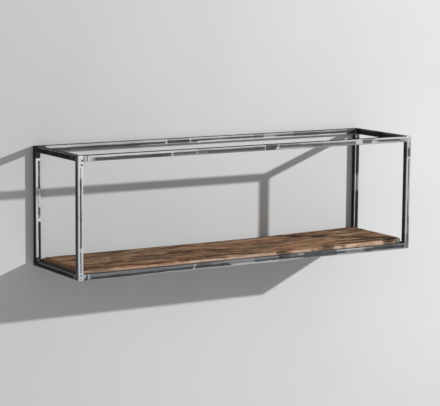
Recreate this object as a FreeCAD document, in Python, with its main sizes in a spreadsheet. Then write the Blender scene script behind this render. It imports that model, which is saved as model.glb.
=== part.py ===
import FreeCAD, Part
import os
import re
import Sketcher

# Wall shelf: an open box frame welded from square steel tube, with a reclaimed hardwood board lying
# in its bottom frame. Millimetres. X runs along the shelf, -Y is the open front, +Y the wall side
# and Z is up. The origin is the middle of the shelf's footprint, at the underside of the frame.

doc = FreeCAD.newDocument("wall_shelf")

# Driving sizes
SIZES = [
    ("shelf_length", 1000.0),
    ("shelf_depth", 250.0),
    ("shelf_height", 305.0),
    ("tube_side", 15.0),
    ("tube_wall", 1.5),
    ("tube_inner_corner", 0.5),
    ("cap_thickness", 3.0),
    ("weld_radius", 2.5),
    ("weld_clearance", 0.3),
    ("board_thickness", 20.0),
    ("board_end_thickness", 26.0),
    ("board_rise_length", 380.0),
    ("board_gap", 1.5),
    ("board_corner_wear", 3.0),
    ("board_edge_wear", 2.5),
    ("tab_length", 30.0),
    ("tab_reach", 20.0),
    ("tab_thickness", 3.0),
    ("tab_corner", 3.0),
    ("tab_end_distance", 120.0),
    ("tack_radius", 2.5),
    ("screw_radius", 2.0),
    ("screw_head_radius", 3.75),
    ("screw_rim", 0.35),
    ("screw_cover", 6.0),
    ("screw_recess_span", 4.4),
    ("screw_recess_width", 0.9),
    ("screw_recess_depth", 1.4),
    ("screw_clearance", 0.1),
    ("keyhole_spacing", 700.0),
    ("keyhole_mouth_radius", 4.0),
    ("keyhole_slot_radius", 2.25),
    ("keyhole_margin", 0.25),
    ("cut_overrun", 1.0),
]

# Sizes that follow from the driving ones
DERIVED = [
    ("tube_bore", "=tube_side - 2 * tube_wall"),
    ("tube_corner", "=tube_inner_corner + tube_wall"),
    ("post_length", "=shelf_height - 2 * cap_thickness"),
    ("rail_length", "=shelf_length - 2 * tube_side"),
    ("end_rail_length", "=shelf_depth - 2 * tube_side"),
    ("bead_length", "=tube_side - tube_corner"),
    ("seam_length", "=tube_side - cap_thickness"),
    ("cap_rounding", "=min(tube_corner; cap_thickness * 2 / 3)"),
    ("board_length", "=rail_length - 2 * board_gap"),
    ("board_depth", "=end_rail_length - 2 * board_gap"),
    ("weld_relief", "=(weld_radius + weld_clearance - board_gap * sqrt(2)) / (sqrt(2) - 1)"),
    ("board_corner", "=max(board_corner_wear; weld_relief)"),
    ("tab_station", "=shelf_length / 2 - tab_end_distance"),
    ("tab_row", "=(end_rail_length - tab_reach) / 2"),
    ("screw_length", "=tab_thickness + board_thickness - screw_cover"),
    ("screw_point_length", "=2 * screw_radius"),
    ("screw_head_height", "=screw_head_radius - screw_radius"),
    ("hole_radius", "=screw_radius + screw_clearance"),
    ("countersink_depth", "=screw_rim + screw_head_height"),
    ("pilot_depth", "=screw_length - tab_thickness + screw_clearance"),
    ("keyhole_drop", "=tube_side / 2 - tube_corner - keyhole_margin - keyhole_mouth_radius"),
    ("keyhole_top", "=tube_side / 2 - tube_corner - keyhole_margin - keyhole_slot_radius"),
    ("keyhole_depth", "=cut_overrun + tube_wall * 3 / 2"),
]

SIDES = {"left": -1, "right": 1}
ROWS = {"front": -1, "back": 1}
LEVELS = {"bottom": -1, "top": 1}
TAB_SPOTS = {"left": -1, "middle": 0, "right": 1}

X_AXIS = FreeCAD.Vector(1, 0, 0)
Y_AXIS = FreeCAD.Vector(0, 1, 0)
Z_AXIS = FreeCAD.Vector(0, 0, 1)
ALONG_X = FreeCAD.Rotation(Y_AXIS, 90)
ALONG_Y = FreeCAD.Rotation(-X_AXIS, 90)

# A sketch is drawn one unit large, and its constraints then stretch it to the sheet's sizes
UNIT = 1.0

sheet = doc.addObject("Spreadsheet::Sheet", "sizes")
for row_number, (alias, value) in enumerate(SIZES + DERIVED, start=1):
    sheet.set("A%d" % row_number, alias)
    sheet.set("B%d" % row_number, str(value))
    sheet.setAlias("B%d" % row_number, alias)
doc.recompute()

nodes = []


def get(alias):
    """Reads one size from the sheet."""
    return float(getattr(sheet, alias))


def bind(item, name, expression):
    """Ties one property of an object to sizes in the sheet."""
    item.setExpression(name, re.sub(r"[a-z][a-z_]*", lambda word: "sizes." + word.group(), expression))


def place(item, x, y, z, rotation=FreeCAD.Rotation()):
    """Turns an object, then ties its place to the sheet."""
    item.Placement = FreeCAD.Placement(FreeCAD.Vector(), rotation)
    bind(item, "Placement.Base.x", x)
    bind(item, "Placement.Base.y", y)
    bind(item, "Placement.Base.z", z)


def new_body(label):
    body = doc.addObject("PartDesign::Body", label)
    body.Label = label
    return body


def new_sketch(body, name, role="XY_Plane"):
    """Starts a sketch on one of the body's own origin planes."""
    sketch = body.newObject("Sketcher::SketchObject", name)
    plane = next(item for item in body.Origin.OriginFeatures if item.Role == role)
    sketch.AttachmentSupport = [(plane, "")]
    sketch.MapMode = "FlatFace"
    return sketch


def closed_lines(sketch, count):
    """Draws a closed ring of joined lines and returns the number of the first one."""
    first = sketch.GeometryCount
    for index in range(count):
        start = FreeCAD.Vector(index * UNIT, 0, 0)
        end = FreeCAD.Vector((index + 1) * UNIT, UNIT, 0)
        sketch.addGeometry(Part.LineSegment(start, end), False)
    for index in range(count):
        following = first + (index + 1) % count
        sketch.addConstraint(Sketcher.Constraint("Coincident", first + index, 2, following, 1))
    return first


def dimension(sketch, kind, places, expression):
    """Adds one dimension to a sketch and ties it to the sheet."""
    number = sketch.addConstraint(Sketcher.Constraint(kind, *places, UNIT))
    bind(sketch, "Constraints[%d]" % number, expression)


def outline(sketch, points):
    """Draws a closed outline whose corners, in order, are tied to the sheet."""
    first = closed_lines(sketch, len(points))
    for index, (x, y) in enumerate(points):
        dimension(sketch, "DistanceX", (-1, 1, first + index, 1), x)
        dimension(sketch, "DistanceY", (-1, 1, first + index, 1), y)


def centred_rectangle(sketch, width, height):
    """Draws a rectangle about the sketch's origin."""
    left, right = "0 - (%s) / 2" % width, "(%s) / 2" % width
    low, high = "0 - (%s) / 2" % height, "(%s) / 2" % height
    outline(sketch, [(left, low), (right, low), (right, high), (left, high)])


def circle(sketch, radius, x="0", y="0"):
    curve = sketch.addGeometry(Part.Circle(FreeCAD.Vector(), Z_AXIS, UNIT), False)
    dimension(sketch, "DistanceX", (-1, 1, curve, 3), x)
    dimension(sketch, "DistanceY", (-1, 1, curve, 3), y)
    dimension(sketch, "Radius", (curve,), radius)


def pad(body, sketch, length):
    feature = body.newObject("PartDesign::Pad", body.Name + "_pad")
    feature.Profile = sketch
    bind(feature, "Length", length)
    doc.recompute()
    return feature


def pocket(body, sketch, depth):
    """Cuts a sketch into a body along its normal, and makes sure that material came away."""
    before = body.Shape.Volume
    feature = body.newObject("PartDesign::Pocket", body.Name + "_pocket")
    feature.Profile = sketch
    feature.Reversed = True
    bind(feature, "Length", depth)
    doc.recompute()
    if not body.Shape.Volume < before:
        raise ValueError(body.Label + ": a pocket cut nothing")


def dress_edges(body, kind, base, names, property_name, width):
    """Rounds or bevels the named edges of a feature."""
    feature = body.newObject(kind, body.Name + "_edges")
    feature.Base = (base, names)
    bind(feature, property_name, width)
    doc.recompute()
    return feature


def round_edges(body, base, names, radius):
    return dress_edges(body, "PartDesign::Fillet", base, names, "Radius", radius)


def bevel_edges(body, base, names, width):
    return dress_edges(body, "PartDesign::Chamfer", base, names, "Size", width)


def straight_edges(feature, test):
    """Names the straight edges whose direction and middle point pass a test."""
    names = []
    for index, edge in enumerate(feature.Shape.Edges, start=1):
        if len(edge.Vertexes) == 2 and isinstance(edge.Curve, Part.Line):
            start, end = (vertex.Point for vertex in edge.Vertexes)
            upright = abs(end.z - start.z) > abs(end.x - start.x) + abs(end.y - start.y)
            if test(upright, (start + end) / 2):
                names.append("Edge%d" % index)
    return names


# Square tube, drawn about the Z axis and padded up from its lower end
def square_tube(label, length):
    body = new_body(label)
    section = new_sketch(body, label + "_section")
    centred_rectangle(section, "tube_side", "tube_side")
    centred_rectangle(section, "tube_bore", "tube_bore")
    blank = pad(body, section, length)
    mid_wall = (get("tube_side") - get("tube_wall")) / 2

    def outer_arris(upright, middle):
        return upright and abs(middle.x) > mid_wall and abs(middle.y) > mid_wall

    def inner_corner(upright, middle):
        return upright and abs(middle.x) < mid_wall and abs(middle.y) < mid_wall

    rounded = round_edges(body, blank, straight_edges(blank, outer_arris), "tube_corner")
    round_edges(body, rounded, straight_edges(rounded, inner_corner), "tube_inner_corner")
    nodes.append(body)
    return body


# Posts: full height between their end caps
for row, toward_wall in ROWS.items():
    for side, toward_right in SIDES.items():
        post = square_tube("post_%s_%s" % (row, side), "post_length")
        place(post, "%d * (shelf_length - tube_side) / 2" % toward_right,
              "%d * (shelf_depth - tube_side) / 2" % toward_wall, "cap_thickness")

# Long rails and end rails: cut square and butted between the posts
for level, upward in LEVELS.items():
    height = "(shelf_height + %d * (shelf_height - tube_side)) / 2" % upward
    for row, toward_wall in ROWS.items():
        long_rail = square_tube("rail_%s_%s" % (level, row), "rail_length")
        place(long_rail, "0 - rail_length / 2",
              "%d * (shelf_depth - tube_side) / 2" % toward_wall, height, ALONG_X)
    for side, toward_right in SIDES.items():
        end_rail = square_tube("end_rail_%s_%s" % (level, side), "end_rail_length")
        place(end_rail, "%d * (shelf_length - tube_side) / 2" % toward_right,
              "0 - end_rail_length / 2", height, ALONG_Y)

# Two hanging keyholes go through the rear wall of the back top rail. The rail lies along X, so its
# own X axis points down: the round mouth is below and the narrow slot runs up from it.
hanging_rail = doc.getObject("rail_top_back")


def cut_rear_wall(name, draw):
    """Draws on a plane just behind the back top rail and cuts through its rear wall alone."""
    sketch = new_sketch(hanging_rail, name, "XZ_Plane")
    draw(sketch)
    bind(sketch, "AttachmentOffset.Base.z", "0 - tube_side / 2 - cut_overrun")
    pocket(hanging_rail, sketch, "keyhole_depth")


for side, toward_right in SIDES.items():
    station = "(rail_length + %d * keyhole_spacing) / 2" % toward_right
    near, far = station + " - keyhole_slot_radius", station + " + keyhole_slot_radius"
    slot_corners = [("0 - keyhole_top", near), ("keyhole_drop", near),
                    ("keyhole_drop", far), ("0 - keyhole_top", far)]
    cut_rear_wall("keyhole_mouth_" + side,
                  lambda sketch: circle(sketch, "keyhole_mouth_radius", "keyhole_drop", station))
    cut_rear_wall("keyhole_slot_" + side, lambda sketch: outline(sketch, slot_corners))
    cut_rear_wall("keyhole_end_" + side,
                  lambda sketch: circle(sketch, "keyhole_slot_radius", "0 - keyhole_top", station))


# Corner pieces are drawn once, for the right, back, top corner of the frame. Their origin is the
# point where the inner faces of the three tubes meet, and the axes point out of the frame.
def corner_turn(toward_right, toward_wall, upward):
    """Turns a corner piece to another corner without mirroring it."""
    if toward_right * toward_wall * upward > 0:
        x_axis, y_axis = X_AXIS * toward_right, Y_AXIS * toward_wall
    else:
        x_axis, y_axis = Y_AXIS * toward_wall, X_AXIS * toward_right
    return FreeCAD.Rotation(x_axis, y_axis, Z_AXIS * upward, "ZXY")


def place_at_corner(item, toward_right, toward_wall, upward):
    place(item, "%d * rail_length / 2" % toward_right, "%d * end_rail_length / 2" % toward_wall,
          "(shelf_height + %d * (shelf_height - 2 * tube_side)) / 2" % upward,
          corner_turn(toward_right, toward_wall, upward))


# End cap of a post: a square plate whose outer edges carry on the tubes' rounded arrises
def end_cap(label):
    body = new_body(label)
    plate = new_sketch(body, label + "_plate")
    outline(plate, [("0", "0"), ("tube_side", "0"), ("tube_side", "tube_side"), ("0", "tube_side")])
    bind(plate, "AttachmentOffset.Base.z", "seam_length")
    blank = pad(body, plate, "cap_thickness")
    half_way = get("tube_side") / 2
    mid_plate = get("tube_side") - get("cap_thickness") / 2
    near_rim = get("tube_side") - get("tube_wall")

    def outer_edge(upright, middle):
        if upright:
            return middle.x > half_way and middle.y > half_way
        return middle.z > mid_plate and max(middle.x, middle.y) > near_rim

    round_edges(body, blank, straight_edges(blank, outer_edge), "cap_rounding")
    return body


# Weld metal of one corner. Rounded beads run out from the inner corner along the three seams, and
# narrow fills make the post's arrises flush with the rails that butt against it.
def quarter_bead(name, *axes):
    bead = doc.addObject("Part::Cylinder", name)
    bead.Angle = 90
    bind(bead, "Radius", "weld_radius")
    bind(bead, "Height", "bead_length")
    bead.Placement = FreeCAD.Placement(FreeCAD.Vector(), FreeCAD.Rotation(*axes, "ZXY"))
    return bead


def weld_blob():
    """The rounded lump where the three beads meet."""
    blob = doc.addObject("Part::Sphere", "weld_blob")
    blob.Angle1 = 0
    blob.Angle2 = 90
    blob.Angle3 = 90
    bind(blob, "Radius", "weld_radius")
    blob.Placement = FreeCAD.Placement(FreeCAD.Vector(),
                                       FreeCAD.Rotation(-Y_AXIS, -X_AXIS, -Z_AXIS, "ZXY"))
    return blob


def seam_fill(name, x, y, axis_x, axis_y):
    """The space between a square corner and the post's rounded arris, along one seam."""
    block = doc.addObject("Part::Box", name + "_block")
    bind(block, "Length", "tube_corner")
    bind(block, "Width", "tube_corner")
    bind(block, "Height", "seam_length")
    place(block, x, y, "0")
    arris = doc.addObject("Part::Cylinder", name + "_arris")
    bind(arris, "Radius", "tube_corner")
    bind(arris, "Height", "seam_length")
    place(arris, axis_x, axis_y, "0")
    fill = doc.addObject("Part::Cut", name)
    fill.Base = block
    fill.Tool = arris
    return fill


beads = doc.addObject("Part::MultiFuse", "weld_beads")
beads.Shapes = [
    weld_blob(),
    quarter_bead("weld_bead_x", -Y_AXIS, -Z_AXIS, X_AXIS),
    quarter_bead("weld_bead_y", -Z_AXIS, -X_AXIS, Y_AXIS),
    quarter_bead("weld_bead_z", -X_AXIS, -Y_AXIS, Z_AXIS),
]
corner_metal = [
    beads,
    seam_fill("seam_fill_inner", "0", "0", "tube_corner", "tube_corner"),
    seam_fill("seam_fill_long", "0", "bead_length", "tube_corner", "bead_length"),
    seam_fill("seam_fill_end", "bead_length", "0", "bead_length", "tube_corner"),
]


def compound(name, shapes):
    group = doc.addObject("Part::Compound", name)
    group.Label = name
    group.Links = shapes
    return group


for level, upward in LEVELS.items():
    for row, toward_wall in ROWS.items():
        for side, toward_right in SIDES.items():
            corner = "%s_%s_%s" % (level, row, side)
            for piece in (end_cap("cap_" + corner), compound("weld_" + corner, corner_metal)):
                place_at_corner(piece, toward_right, toward_wall, upward)
                nodes.append(piece)


# Board tab: a flat steel plate with a countersunk hole, drawn about the hole with its welded edge
# towards -Y
def board_tab(label):
    body = new_body(label)
    plate = new_sketch(body, label + "_plate")
    centred_rectangle(plate, "tab_length", "tab_reach")
    circle(plate, "hole_radius")
    blank = pad(body, plate, "tab_thickness")
    beyond_hole = get("tab_length") / 4

    def free_corner(upright, middle):
        return upright and abs(middle.x) > beyond_hole and middle.y > 0

    rounded = round_edges(body, blank, straight_edges(blank, free_corner), "tab_corner")
    hole_rim = [
        "Edge%d" % index for index, edge in enumerate(rounded.Shape.Edges, start=1)
        if len(edge.Vertexes) == 1 and edge.CenterOfMass.z < get("tab_thickness") / 2
    ]
    bevel_edges(body, rounded, hole_rim, "countersink_depth")
    return body


def tack(name, x, start_angle):
    """A small quarter-round bead in the corner between a tab's end and its rail."""
    bead = doc.addObject("Part::Cylinder", name)
    bead.Angle = 90
    bind(bead, "Radius", "tack_radius")
    bind(bead, "Height", "tab_thickness")
    place(bead, x, "0 - tab_reach / 2", "0", FreeCAD.Rotation(Z_AXIS, start_angle))
    return bead


tacks = [tack("tack_right", "tab_length / 2", 0), tack("tack_left", "0 - tab_length / 2", 90)]
for row, toward_wall in ROWS.items():
    turn = FreeCAD.Rotation(Z_AXIS, 0 if toward_wall < 0 else 180)
    for spot, along in TAB_SPOTS.items():
        spot_name = "%s_%s" % (row, spot)
        for piece in (board_tab("tab_" + spot_name), compound("tab_weld_" + spot_name, tacks)):
            place(piece, "%d * tab_station" % along, "%d * tab_row" % toward_wall, "0", turn)
            nodes.append(piece)

# Shelf board: one hardwood plank with worn corners and blind pilot holes. Its top is level for most
# of the length and rises towards the right end. The bevel of the worn front arris carries on round
# the corners, along the other upper arrises.
board = new_body("shelf_board")
board_side = new_sketch(board, "board_side", "XZ_Plane")
outline(board_side, [
    ("0 - board_length / 2", "0"),
    ("board_length / 2", "0"),
    ("board_length / 2", "board_end_thickness"),
    ("board_length / 2 - board_rise_length", "board_thickness"),
    ("0 - board_length / 2", "board_thickness"),
])
bind(board_side, "AttachmentOffset.Base.z", "0 - board_depth / 2")
plank = pad(board, board_side, "board_depth")
eased = round_edges(board, plank, straight_edges(plank, lambda upright, middle: upright),
                    "board_corner")
front_line = -get("board_depth") / 2 + get("board_gap")
mid_board = get("board_thickness") / 2
bevel_edges(board, eased,
            straight_edges(eased, lambda upright, middle: middle.y < front_line
                           and middle.z > mid_board and not upright),
            "board_edge_wear")
pilots = new_sketch(board, "board_pilots")
for toward_wall in ROWS.values():
    for along in TAB_SPOTS.values():
        circle(pilots, "hole_radius", "%d * tab_station" % along, "%d * tab_row" % toward_wall)
pocket(board, pilots, "pilot_depth")
place(board, "0", "0", "tab_thickness")
nodes.append(board)

# Wood screw, turned about the Z axis with its countersunk head down, and a cross recess in the head
screw = new_body("board_screw")
profile = new_sketch(screw, "screw_profile", "XZ_Plane")
outline(profile, [
    ("0", "0"),
    ("screw_head_radius", "0"),
    ("screw_head_radius", "screw_rim"),
    ("screw_radius", "countersink_depth"),
    ("screw_radius", "screw_length - screw_point_length"),
    ("0", "screw_length"),
])
turned = screw.newObject("PartDesign::Revolution", "screw_turned")
turned.Profile = profile
turned.ReferenceAxis = (profile, ["V_Axis"])
turned.Angle = 360
doc.recompute()
recess = new_sketch(screw, "screw_recess")
centred_rectangle(recess, "screw_recess_span", "screw_recess_width")
pocket(screw, recess, "screw_recess_depth")
cross_recess = new_sketch(screw, "screw_cross_recess")
centred_rectangle(cross_recess, "screw_recess_width", "screw_recess_span")
pocket(screw, cross_recess, "screw_recess_depth")
screws = []
for toward_wall in ROWS.values():
    for along in TAB_SPOTS.values():
        driven = compound("driven_screw_%d" % len(screws), [screw])
        place(driven, "%d * tab_station" % along, "%d * tab_row" % toward_wall, "0")
        screws.append(driven)
nodes.append(compound("board_screws", screws))

# Every object is checked before anything is written
doc.recompute()
for item in doc.Objects:
    if "Invalid" in item.State or "Error" in item.State:
        raise ValueError("%s is in error: %s" % (item.Label, item.State))
for node in nodes:
    if node.Shape.isNull() or not node.Shape.isValid():
        raise ValueError(node.Label + " has no valid shape")

os.makedirs("parts", exist_ok=True)
for node in nodes:
    node.Shape.exportStep(os.path.join("parts", node.Label + ".step"))
    box = node.Shape.BoundBox
    print("%-24s solids %d  volume %10.2f  x %8.2f %8.2f  y %8.2f %8.2f  z %7.2f %7.2f" % (
        node.Label, len(node.Shape.Solids), node.Shape.Volume,
        box.XMin, box.XMax, box.YMin, box.YMax, box.ZMin, box.ZMax))
print("%d nodes" % len(nodes))
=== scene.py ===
"""Looks of the wall shelf: ground square tube, welded corners and an old hardwood plank."""

from __future__ import annotations

import itertools
import logging
import math
from dataclasses import dataclass, field
from enum import Enum
from typing import Callable, Sequence, Union

import bmesh
import bpy
from mathutils import Euler, Matrix, Vector, noise

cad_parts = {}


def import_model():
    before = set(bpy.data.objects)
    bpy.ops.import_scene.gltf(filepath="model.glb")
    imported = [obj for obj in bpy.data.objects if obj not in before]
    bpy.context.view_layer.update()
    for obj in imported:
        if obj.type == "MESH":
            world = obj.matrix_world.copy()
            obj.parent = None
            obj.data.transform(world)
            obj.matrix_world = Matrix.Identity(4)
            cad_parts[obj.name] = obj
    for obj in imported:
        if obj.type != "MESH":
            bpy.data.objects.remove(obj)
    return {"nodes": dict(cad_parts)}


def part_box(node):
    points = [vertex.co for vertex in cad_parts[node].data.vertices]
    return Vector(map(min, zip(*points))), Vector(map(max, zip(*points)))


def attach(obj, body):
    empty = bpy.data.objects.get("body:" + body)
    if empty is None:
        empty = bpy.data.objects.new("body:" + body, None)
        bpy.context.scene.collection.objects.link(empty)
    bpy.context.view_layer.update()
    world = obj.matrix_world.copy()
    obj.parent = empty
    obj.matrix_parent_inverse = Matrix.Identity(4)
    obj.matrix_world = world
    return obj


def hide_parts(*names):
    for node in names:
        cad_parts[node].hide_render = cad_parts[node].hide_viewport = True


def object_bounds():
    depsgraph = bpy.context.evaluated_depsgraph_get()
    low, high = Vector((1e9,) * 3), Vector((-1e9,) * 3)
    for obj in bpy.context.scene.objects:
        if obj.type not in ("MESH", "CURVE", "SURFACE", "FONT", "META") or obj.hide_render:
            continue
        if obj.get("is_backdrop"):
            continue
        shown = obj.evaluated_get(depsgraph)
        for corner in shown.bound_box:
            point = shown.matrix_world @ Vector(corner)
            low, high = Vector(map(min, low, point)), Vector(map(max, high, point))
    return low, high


MM = 0.001
BODY = "root"
NONE = (0.0, 0.0, 0.0)

# A point of the plank that is nearer to a side than this lies on it, in mm
ON_SIDE = 0.01

# Roughness of the ground metal at the corners of each end
CORNER_ROUGH = {"left": 0.50, "right": 0.20}

# Attributes of the plank's points, which its finish reads; the second darkens the wood with dirt and with
# painted shadow
PLANK_LAYERS = ("worn", "dirt", "sawn_end")

# Distances across a tube's section at which its wear changes, in metres
BAND_SOFT = 0.0006
FLANK_TURN = (-0.0014, 0.0004)
CREST_EDGE = (0.0013, 0.0021)
LINE_EDGE = (0.0011, 0.0017)
LINE_SIDE = 0.001

Triple = tuple[float, float, float]
Socket = bpy.types.NodeSocket
Feed = Union[Socket, float, Sequence[float]]
Material = bpy.types.Material
Nodes = dict[str, bpy.types.Object]
Work = bmesh.types.BMesh

log = logging.getLogger("wall_shelf")


class Side(Enum):
    """End of the shelf, with its sign along X."""

    LEFT = -1
    RIGHT = 1


class Row(Enum):
    """Front or wall side, with its sign along Y."""

    FRONT = -1
    BACK = 1


class Level(Enum):
    """Lower or upper frame, with its sign along Z."""

    BOTTOM = -1
    TOP = 1


class Spot(Enum):
    """Place of a tab along the board."""

    LEFT = -1
    MIDDLE = 0
    RIGHT = 1


class Run(Enum):
    """Axis that a tube runs along, in the order X, Y, Z, with the turn that lays it on X."""

    ACROSS = (0.0, 0.0, 0.0)
    INWARD = (0.0, 0.0, -math.pi / 2)
    UPWARD = (0.0, math.pi / 2, 0.0)


class RoughEdge(Enum):
    """Rough edge of the plank, with the number that sets its chips apart."""

    BACK = 1.0
    LEFT = 2.0
    RIGHT = 3.0


class MixKind(Enum):
    """What a Mix node mixes, with the number of its pair of inputs and of its output."""

    FLOAT = 0
    VECTOR = 1
    RGBA = 2


# Node work


class NodeCanvas:
    """Adds and joins the nodes of one material or one shared effect."""

    def __init__(self, tree: bpy.types.NodeTree) -> None:
        """Starts on an empty tree.

        Args:
            tree: the node tree to draw in.
        """
        self.tree = tree
        tree.nodes.clear()

    def add(self, kind: str, **settings: object) -> bpy.types.Node:
        """Adds a node.

        Args:
            kind: the node's type name without its "ShaderNode" start.
            settings: properties to set on it.

        Returns:
            The new node.
        """
        node = self.tree.nodes.new("ShaderNode" + kind)
        for name, value in settings.items():
            setattr(node, name, value)
        return node

    def feed(self, socket: Socket, value: Feed) -> None:
        """Links a socket to another one, or sets its value.

        Args:
            socket: the input socket.
            value: an output socket, a number or several numbers.
        """
        if isinstance(value, Socket):
            self.tree.links.new(value, socket)
        elif socket.type == "RGBA":
            socket.default_value = (*value, 1.0)
        else:
            socket.default_value = value

    def maths(self, operation: str, first: Feed, second: Feed = 0.0) -> Socket:
        """Adds one step of arithmetic.

        Args:
            operation: the Math node's operation.
            first: the first number.
            second: the second number, where the operation has one.

        Returns:
            The result.
        """
        node = self.add("Math", operation=operation)
        self.feed(node.inputs[0], first)
        self.feed(node.inputs[1], second)
        return node.outputs[0]

    def plus(self, first: Feed, second: Feed) -> Socket:
        """Adds two numbers."""
        return self.maths("ADD", first, second)

    def minus(self, first: Feed, second: Feed) -> Socket:
        """Takes the second number from the first."""
        return self.maths("SUBTRACT", first, second)

    def times(self, first: Feed, second: Feed) -> Socket:
        """Multiplies two numbers."""
        return self.maths("MULTIPLY", first, second)

    def larger(self, first: Feed, second: Feed) -> Socket:
        """Takes the larger of two numbers."""
        return self.maths("MAXIMUM", first, second)

    def vector(self, operation: str, first: Feed, second: Feed = NONE) -> Socket:
        """Adds one step of vector arithmetic.

        Args:
            operation: the Vector Math node's operation.
            first: the first vector.
            second: the second vector, where the operation has one.

        Returns:
            The result, which is a number for a distance, a length or a dot product.
        """
        node = self.add("VectorMath", operation=operation)
        self.feed(node.inputs[0], first)
        self.feed(node.inputs[1], second)
        gives_number = operation in ("DISTANCE", "LENGTH", "DOT_PRODUCT")
        return node.outputs["Value" if gives_number else "Vector"]

    def parts(self, vector: Feed) -> tuple[Socket, ...]:
        """Splits a vector.

        Args:
            vector: the vector.

        Returns:
            Its three numbers.
        """
        node = self.add("SeparateXYZ")
        self.feed(node.inputs[0], vector)
        return tuple(node.outputs)

    def combined(self, x: Feed = 0.0, y: Feed = 0.0, z: Feed = 0.0) -> Socket:
        """Makes a vector of three numbers.

        Args:
            x: the first number.
            y: the second number.
            z: the third number.

        Returns:
            The vector.
        """
        node = self.add("CombineXYZ")
        for socket, value in zip(node.inputs, (x, y, z)):
            self.feed(socket, value)
        return node.outputs[0]

    def moved(self, vector: Feed, move: Feed) -> Socket:
        """Moves coordinates."""
        return self.vector("ADD", vector, move)

    def turned(self, vector: Feed, turn: Feed, move: Feed = NONE) -> Socket:
        """Turns coordinates about the origin and then moves them.

        Args:
            vector: the coordinates.
            turn: the turn, as Euler angles.
            move: the move, in metres.

        Returns:
            The new coordinates.
        """
        node = self.add("Mapping", vector_type="POINT")
        node.inputs["Rotation"].default_value = turn
        node.inputs["Location"].default_value = move
        self.feed(node.inputs["Vector"], vector)
        return node.outputs[0]

    def noise(self, vector: Feed, stretch: Feed, detail: float = 2.0, roughness: float = 0.5,
              distortion: float = 0.0) -> Socket:
        """Adds noise.

        Args:
            vector: the coordinates, in metres.
            stretch: cells to a metre along each axis.
            detail: octaves.
            roughness: weight of the finer octaves.
            distortion: how far the pattern is pushed about.

        Returns:
            The noise, from 0 to 1 about 0.5.
        """
        node = self.add("TexNoise")
        settings = {"Scale": 1.0, "Detail": detail, "Roughness": roughness, "Distortion": distortion}
        for name, value in settings.items():
            node.inputs[name].default_value = value
        self.feed(node.inputs["Vector"], self.vector("MULTIPLY", vector, stretch))
        return node.outputs[0]

    def uneven(self, vector: Feed, stretch: Feed) -> Socket:
        """Adds noise of two octaves that lies about 0."""
        return self.minus(self.noise(vector, stretch), 0.5)

    def cells(self, vector: Feed, stretch: Feed) -> Socket:
        """Adds round cells.

        Args:
            vector: the coordinates, in metres.
            stretch: cells to a metre along each axis.

        Returns:
            The distance to the nearest cell's point.
        """
        node = self.add("TexVoronoi")
        node.inputs["Scale"].default_value = 1.0
        self.feed(node.inputs["Vector"], self.vector("MULTIPLY", vector, stretch))
        return node.outputs["Distance"]

    def span(self, value: Feed, low: Feed, high: Feed, start: Feed = 0.0, end: Feed = 1.0,
             smooth: bool = False) -> Socket:
        """Maps a value from one range to another, held at the ends.

        Args:
            value: the number to map.
            low: the value that gives start.
            high: the value that gives end.
            start: result at low.
            end: result at high.
            smooth: eases both ends.

        Returns:
            The mapped number.
        """
        node = self.add("MapRange", interpolation_type="SMOOTHSTEP" if smooth else "LINEAR")
        names = ("Value", "From Min", "From Max", "To Min", "To Max")
        for name, number in zip(names, (value, low, high, start, end)):
            self.feed(node.inputs[name], number)
        return node.outputs["Result"]

    def fade(self, value: Feed, low: Feed, high: Feed, smooth: bool = False) -> Socket:
        """Falls from 1 at the low value to 0 at the high one."""
        return self.span(value, low, high, 1.0, 0.0, smooth)

    def mix(self, kind: MixKind, factor: Feed, first: Feed, second: Feed) -> Socket:
        """Mixes two values of one kind.

        Args:
            kind: what is mixed.
            factor: share of the second value.
            first: the first value.
            second: the second value.

        Returns:
            The mixed value.
        """
        node = self.add("Mix", data_type=kind.name)
        pair = 2 + 2 * kind.value
        self.feed(node.inputs[0], factor)
        self.feed(node.inputs[pair], first)
        self.feed(node.inputs[pair + 1], second)
        return node.outputs[kind.value]

    def blend(self, factor: Feed, first: Feed, second: Feed) -> Socket:
        """Mixes two colours."""
        return self.mix(MixKind.RGBA, factor, first, second)

    def between(self, factor: Feed, first: Feed, second: Feed) -> Socket:
        """Mixes two numbers."""
        return self.mix(MixKind.FLOAT, factor, first, second)

    def layered(self, colour: Feed, *layers: tuple[Feed, float, float, float, Triple]) -> Feed:
        """Lays colours over one another, each where its pattern is strong or weak.

        Args:
            colour: the colour below them.
            layers: for each its pattern, the levels where it starts and is full, its share there
                and its colour.

        Returns:
            The colour with all its layers.
        """
        for pattern, start, full, share, tone in layers:
            colour = self.blend(self.span(pattern, start, full, 0.0, share), colour, tone)
        return colour

    def effect(self, shared: Shared, **values: Feed) -> bpy.types.NodeOutputs:
        """Places a shared effect.

        Args:
            shared: the effect.
            values: its inputs by name, with _ for a space.

        Returns:
            Its outputs by name.
        """
        node = self.add("Group", node_tree=shared.group())
        for name, value in values.items():
            self.feed(node.inputs[name.replace("_", " ").capitalize()], value)
        return node.outputs

    def bump(self, height: Feed, strength: float, reach: float) -> Socket:
        """Turns a height into a normal.

        Args:
            height: from 0 to 1.
            strength: share of the effect.
            reach: depth of the whole height, in metres.

        Returns:
            The bent normal.
        """
        node = self.add("Bump")
        node.inputs["Strength"].default_value = strength
        node.inputs["Distance"].default_value = reach
        self.feed(node.inputs["Height"], height)
        return node.outputs[0]


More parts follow.
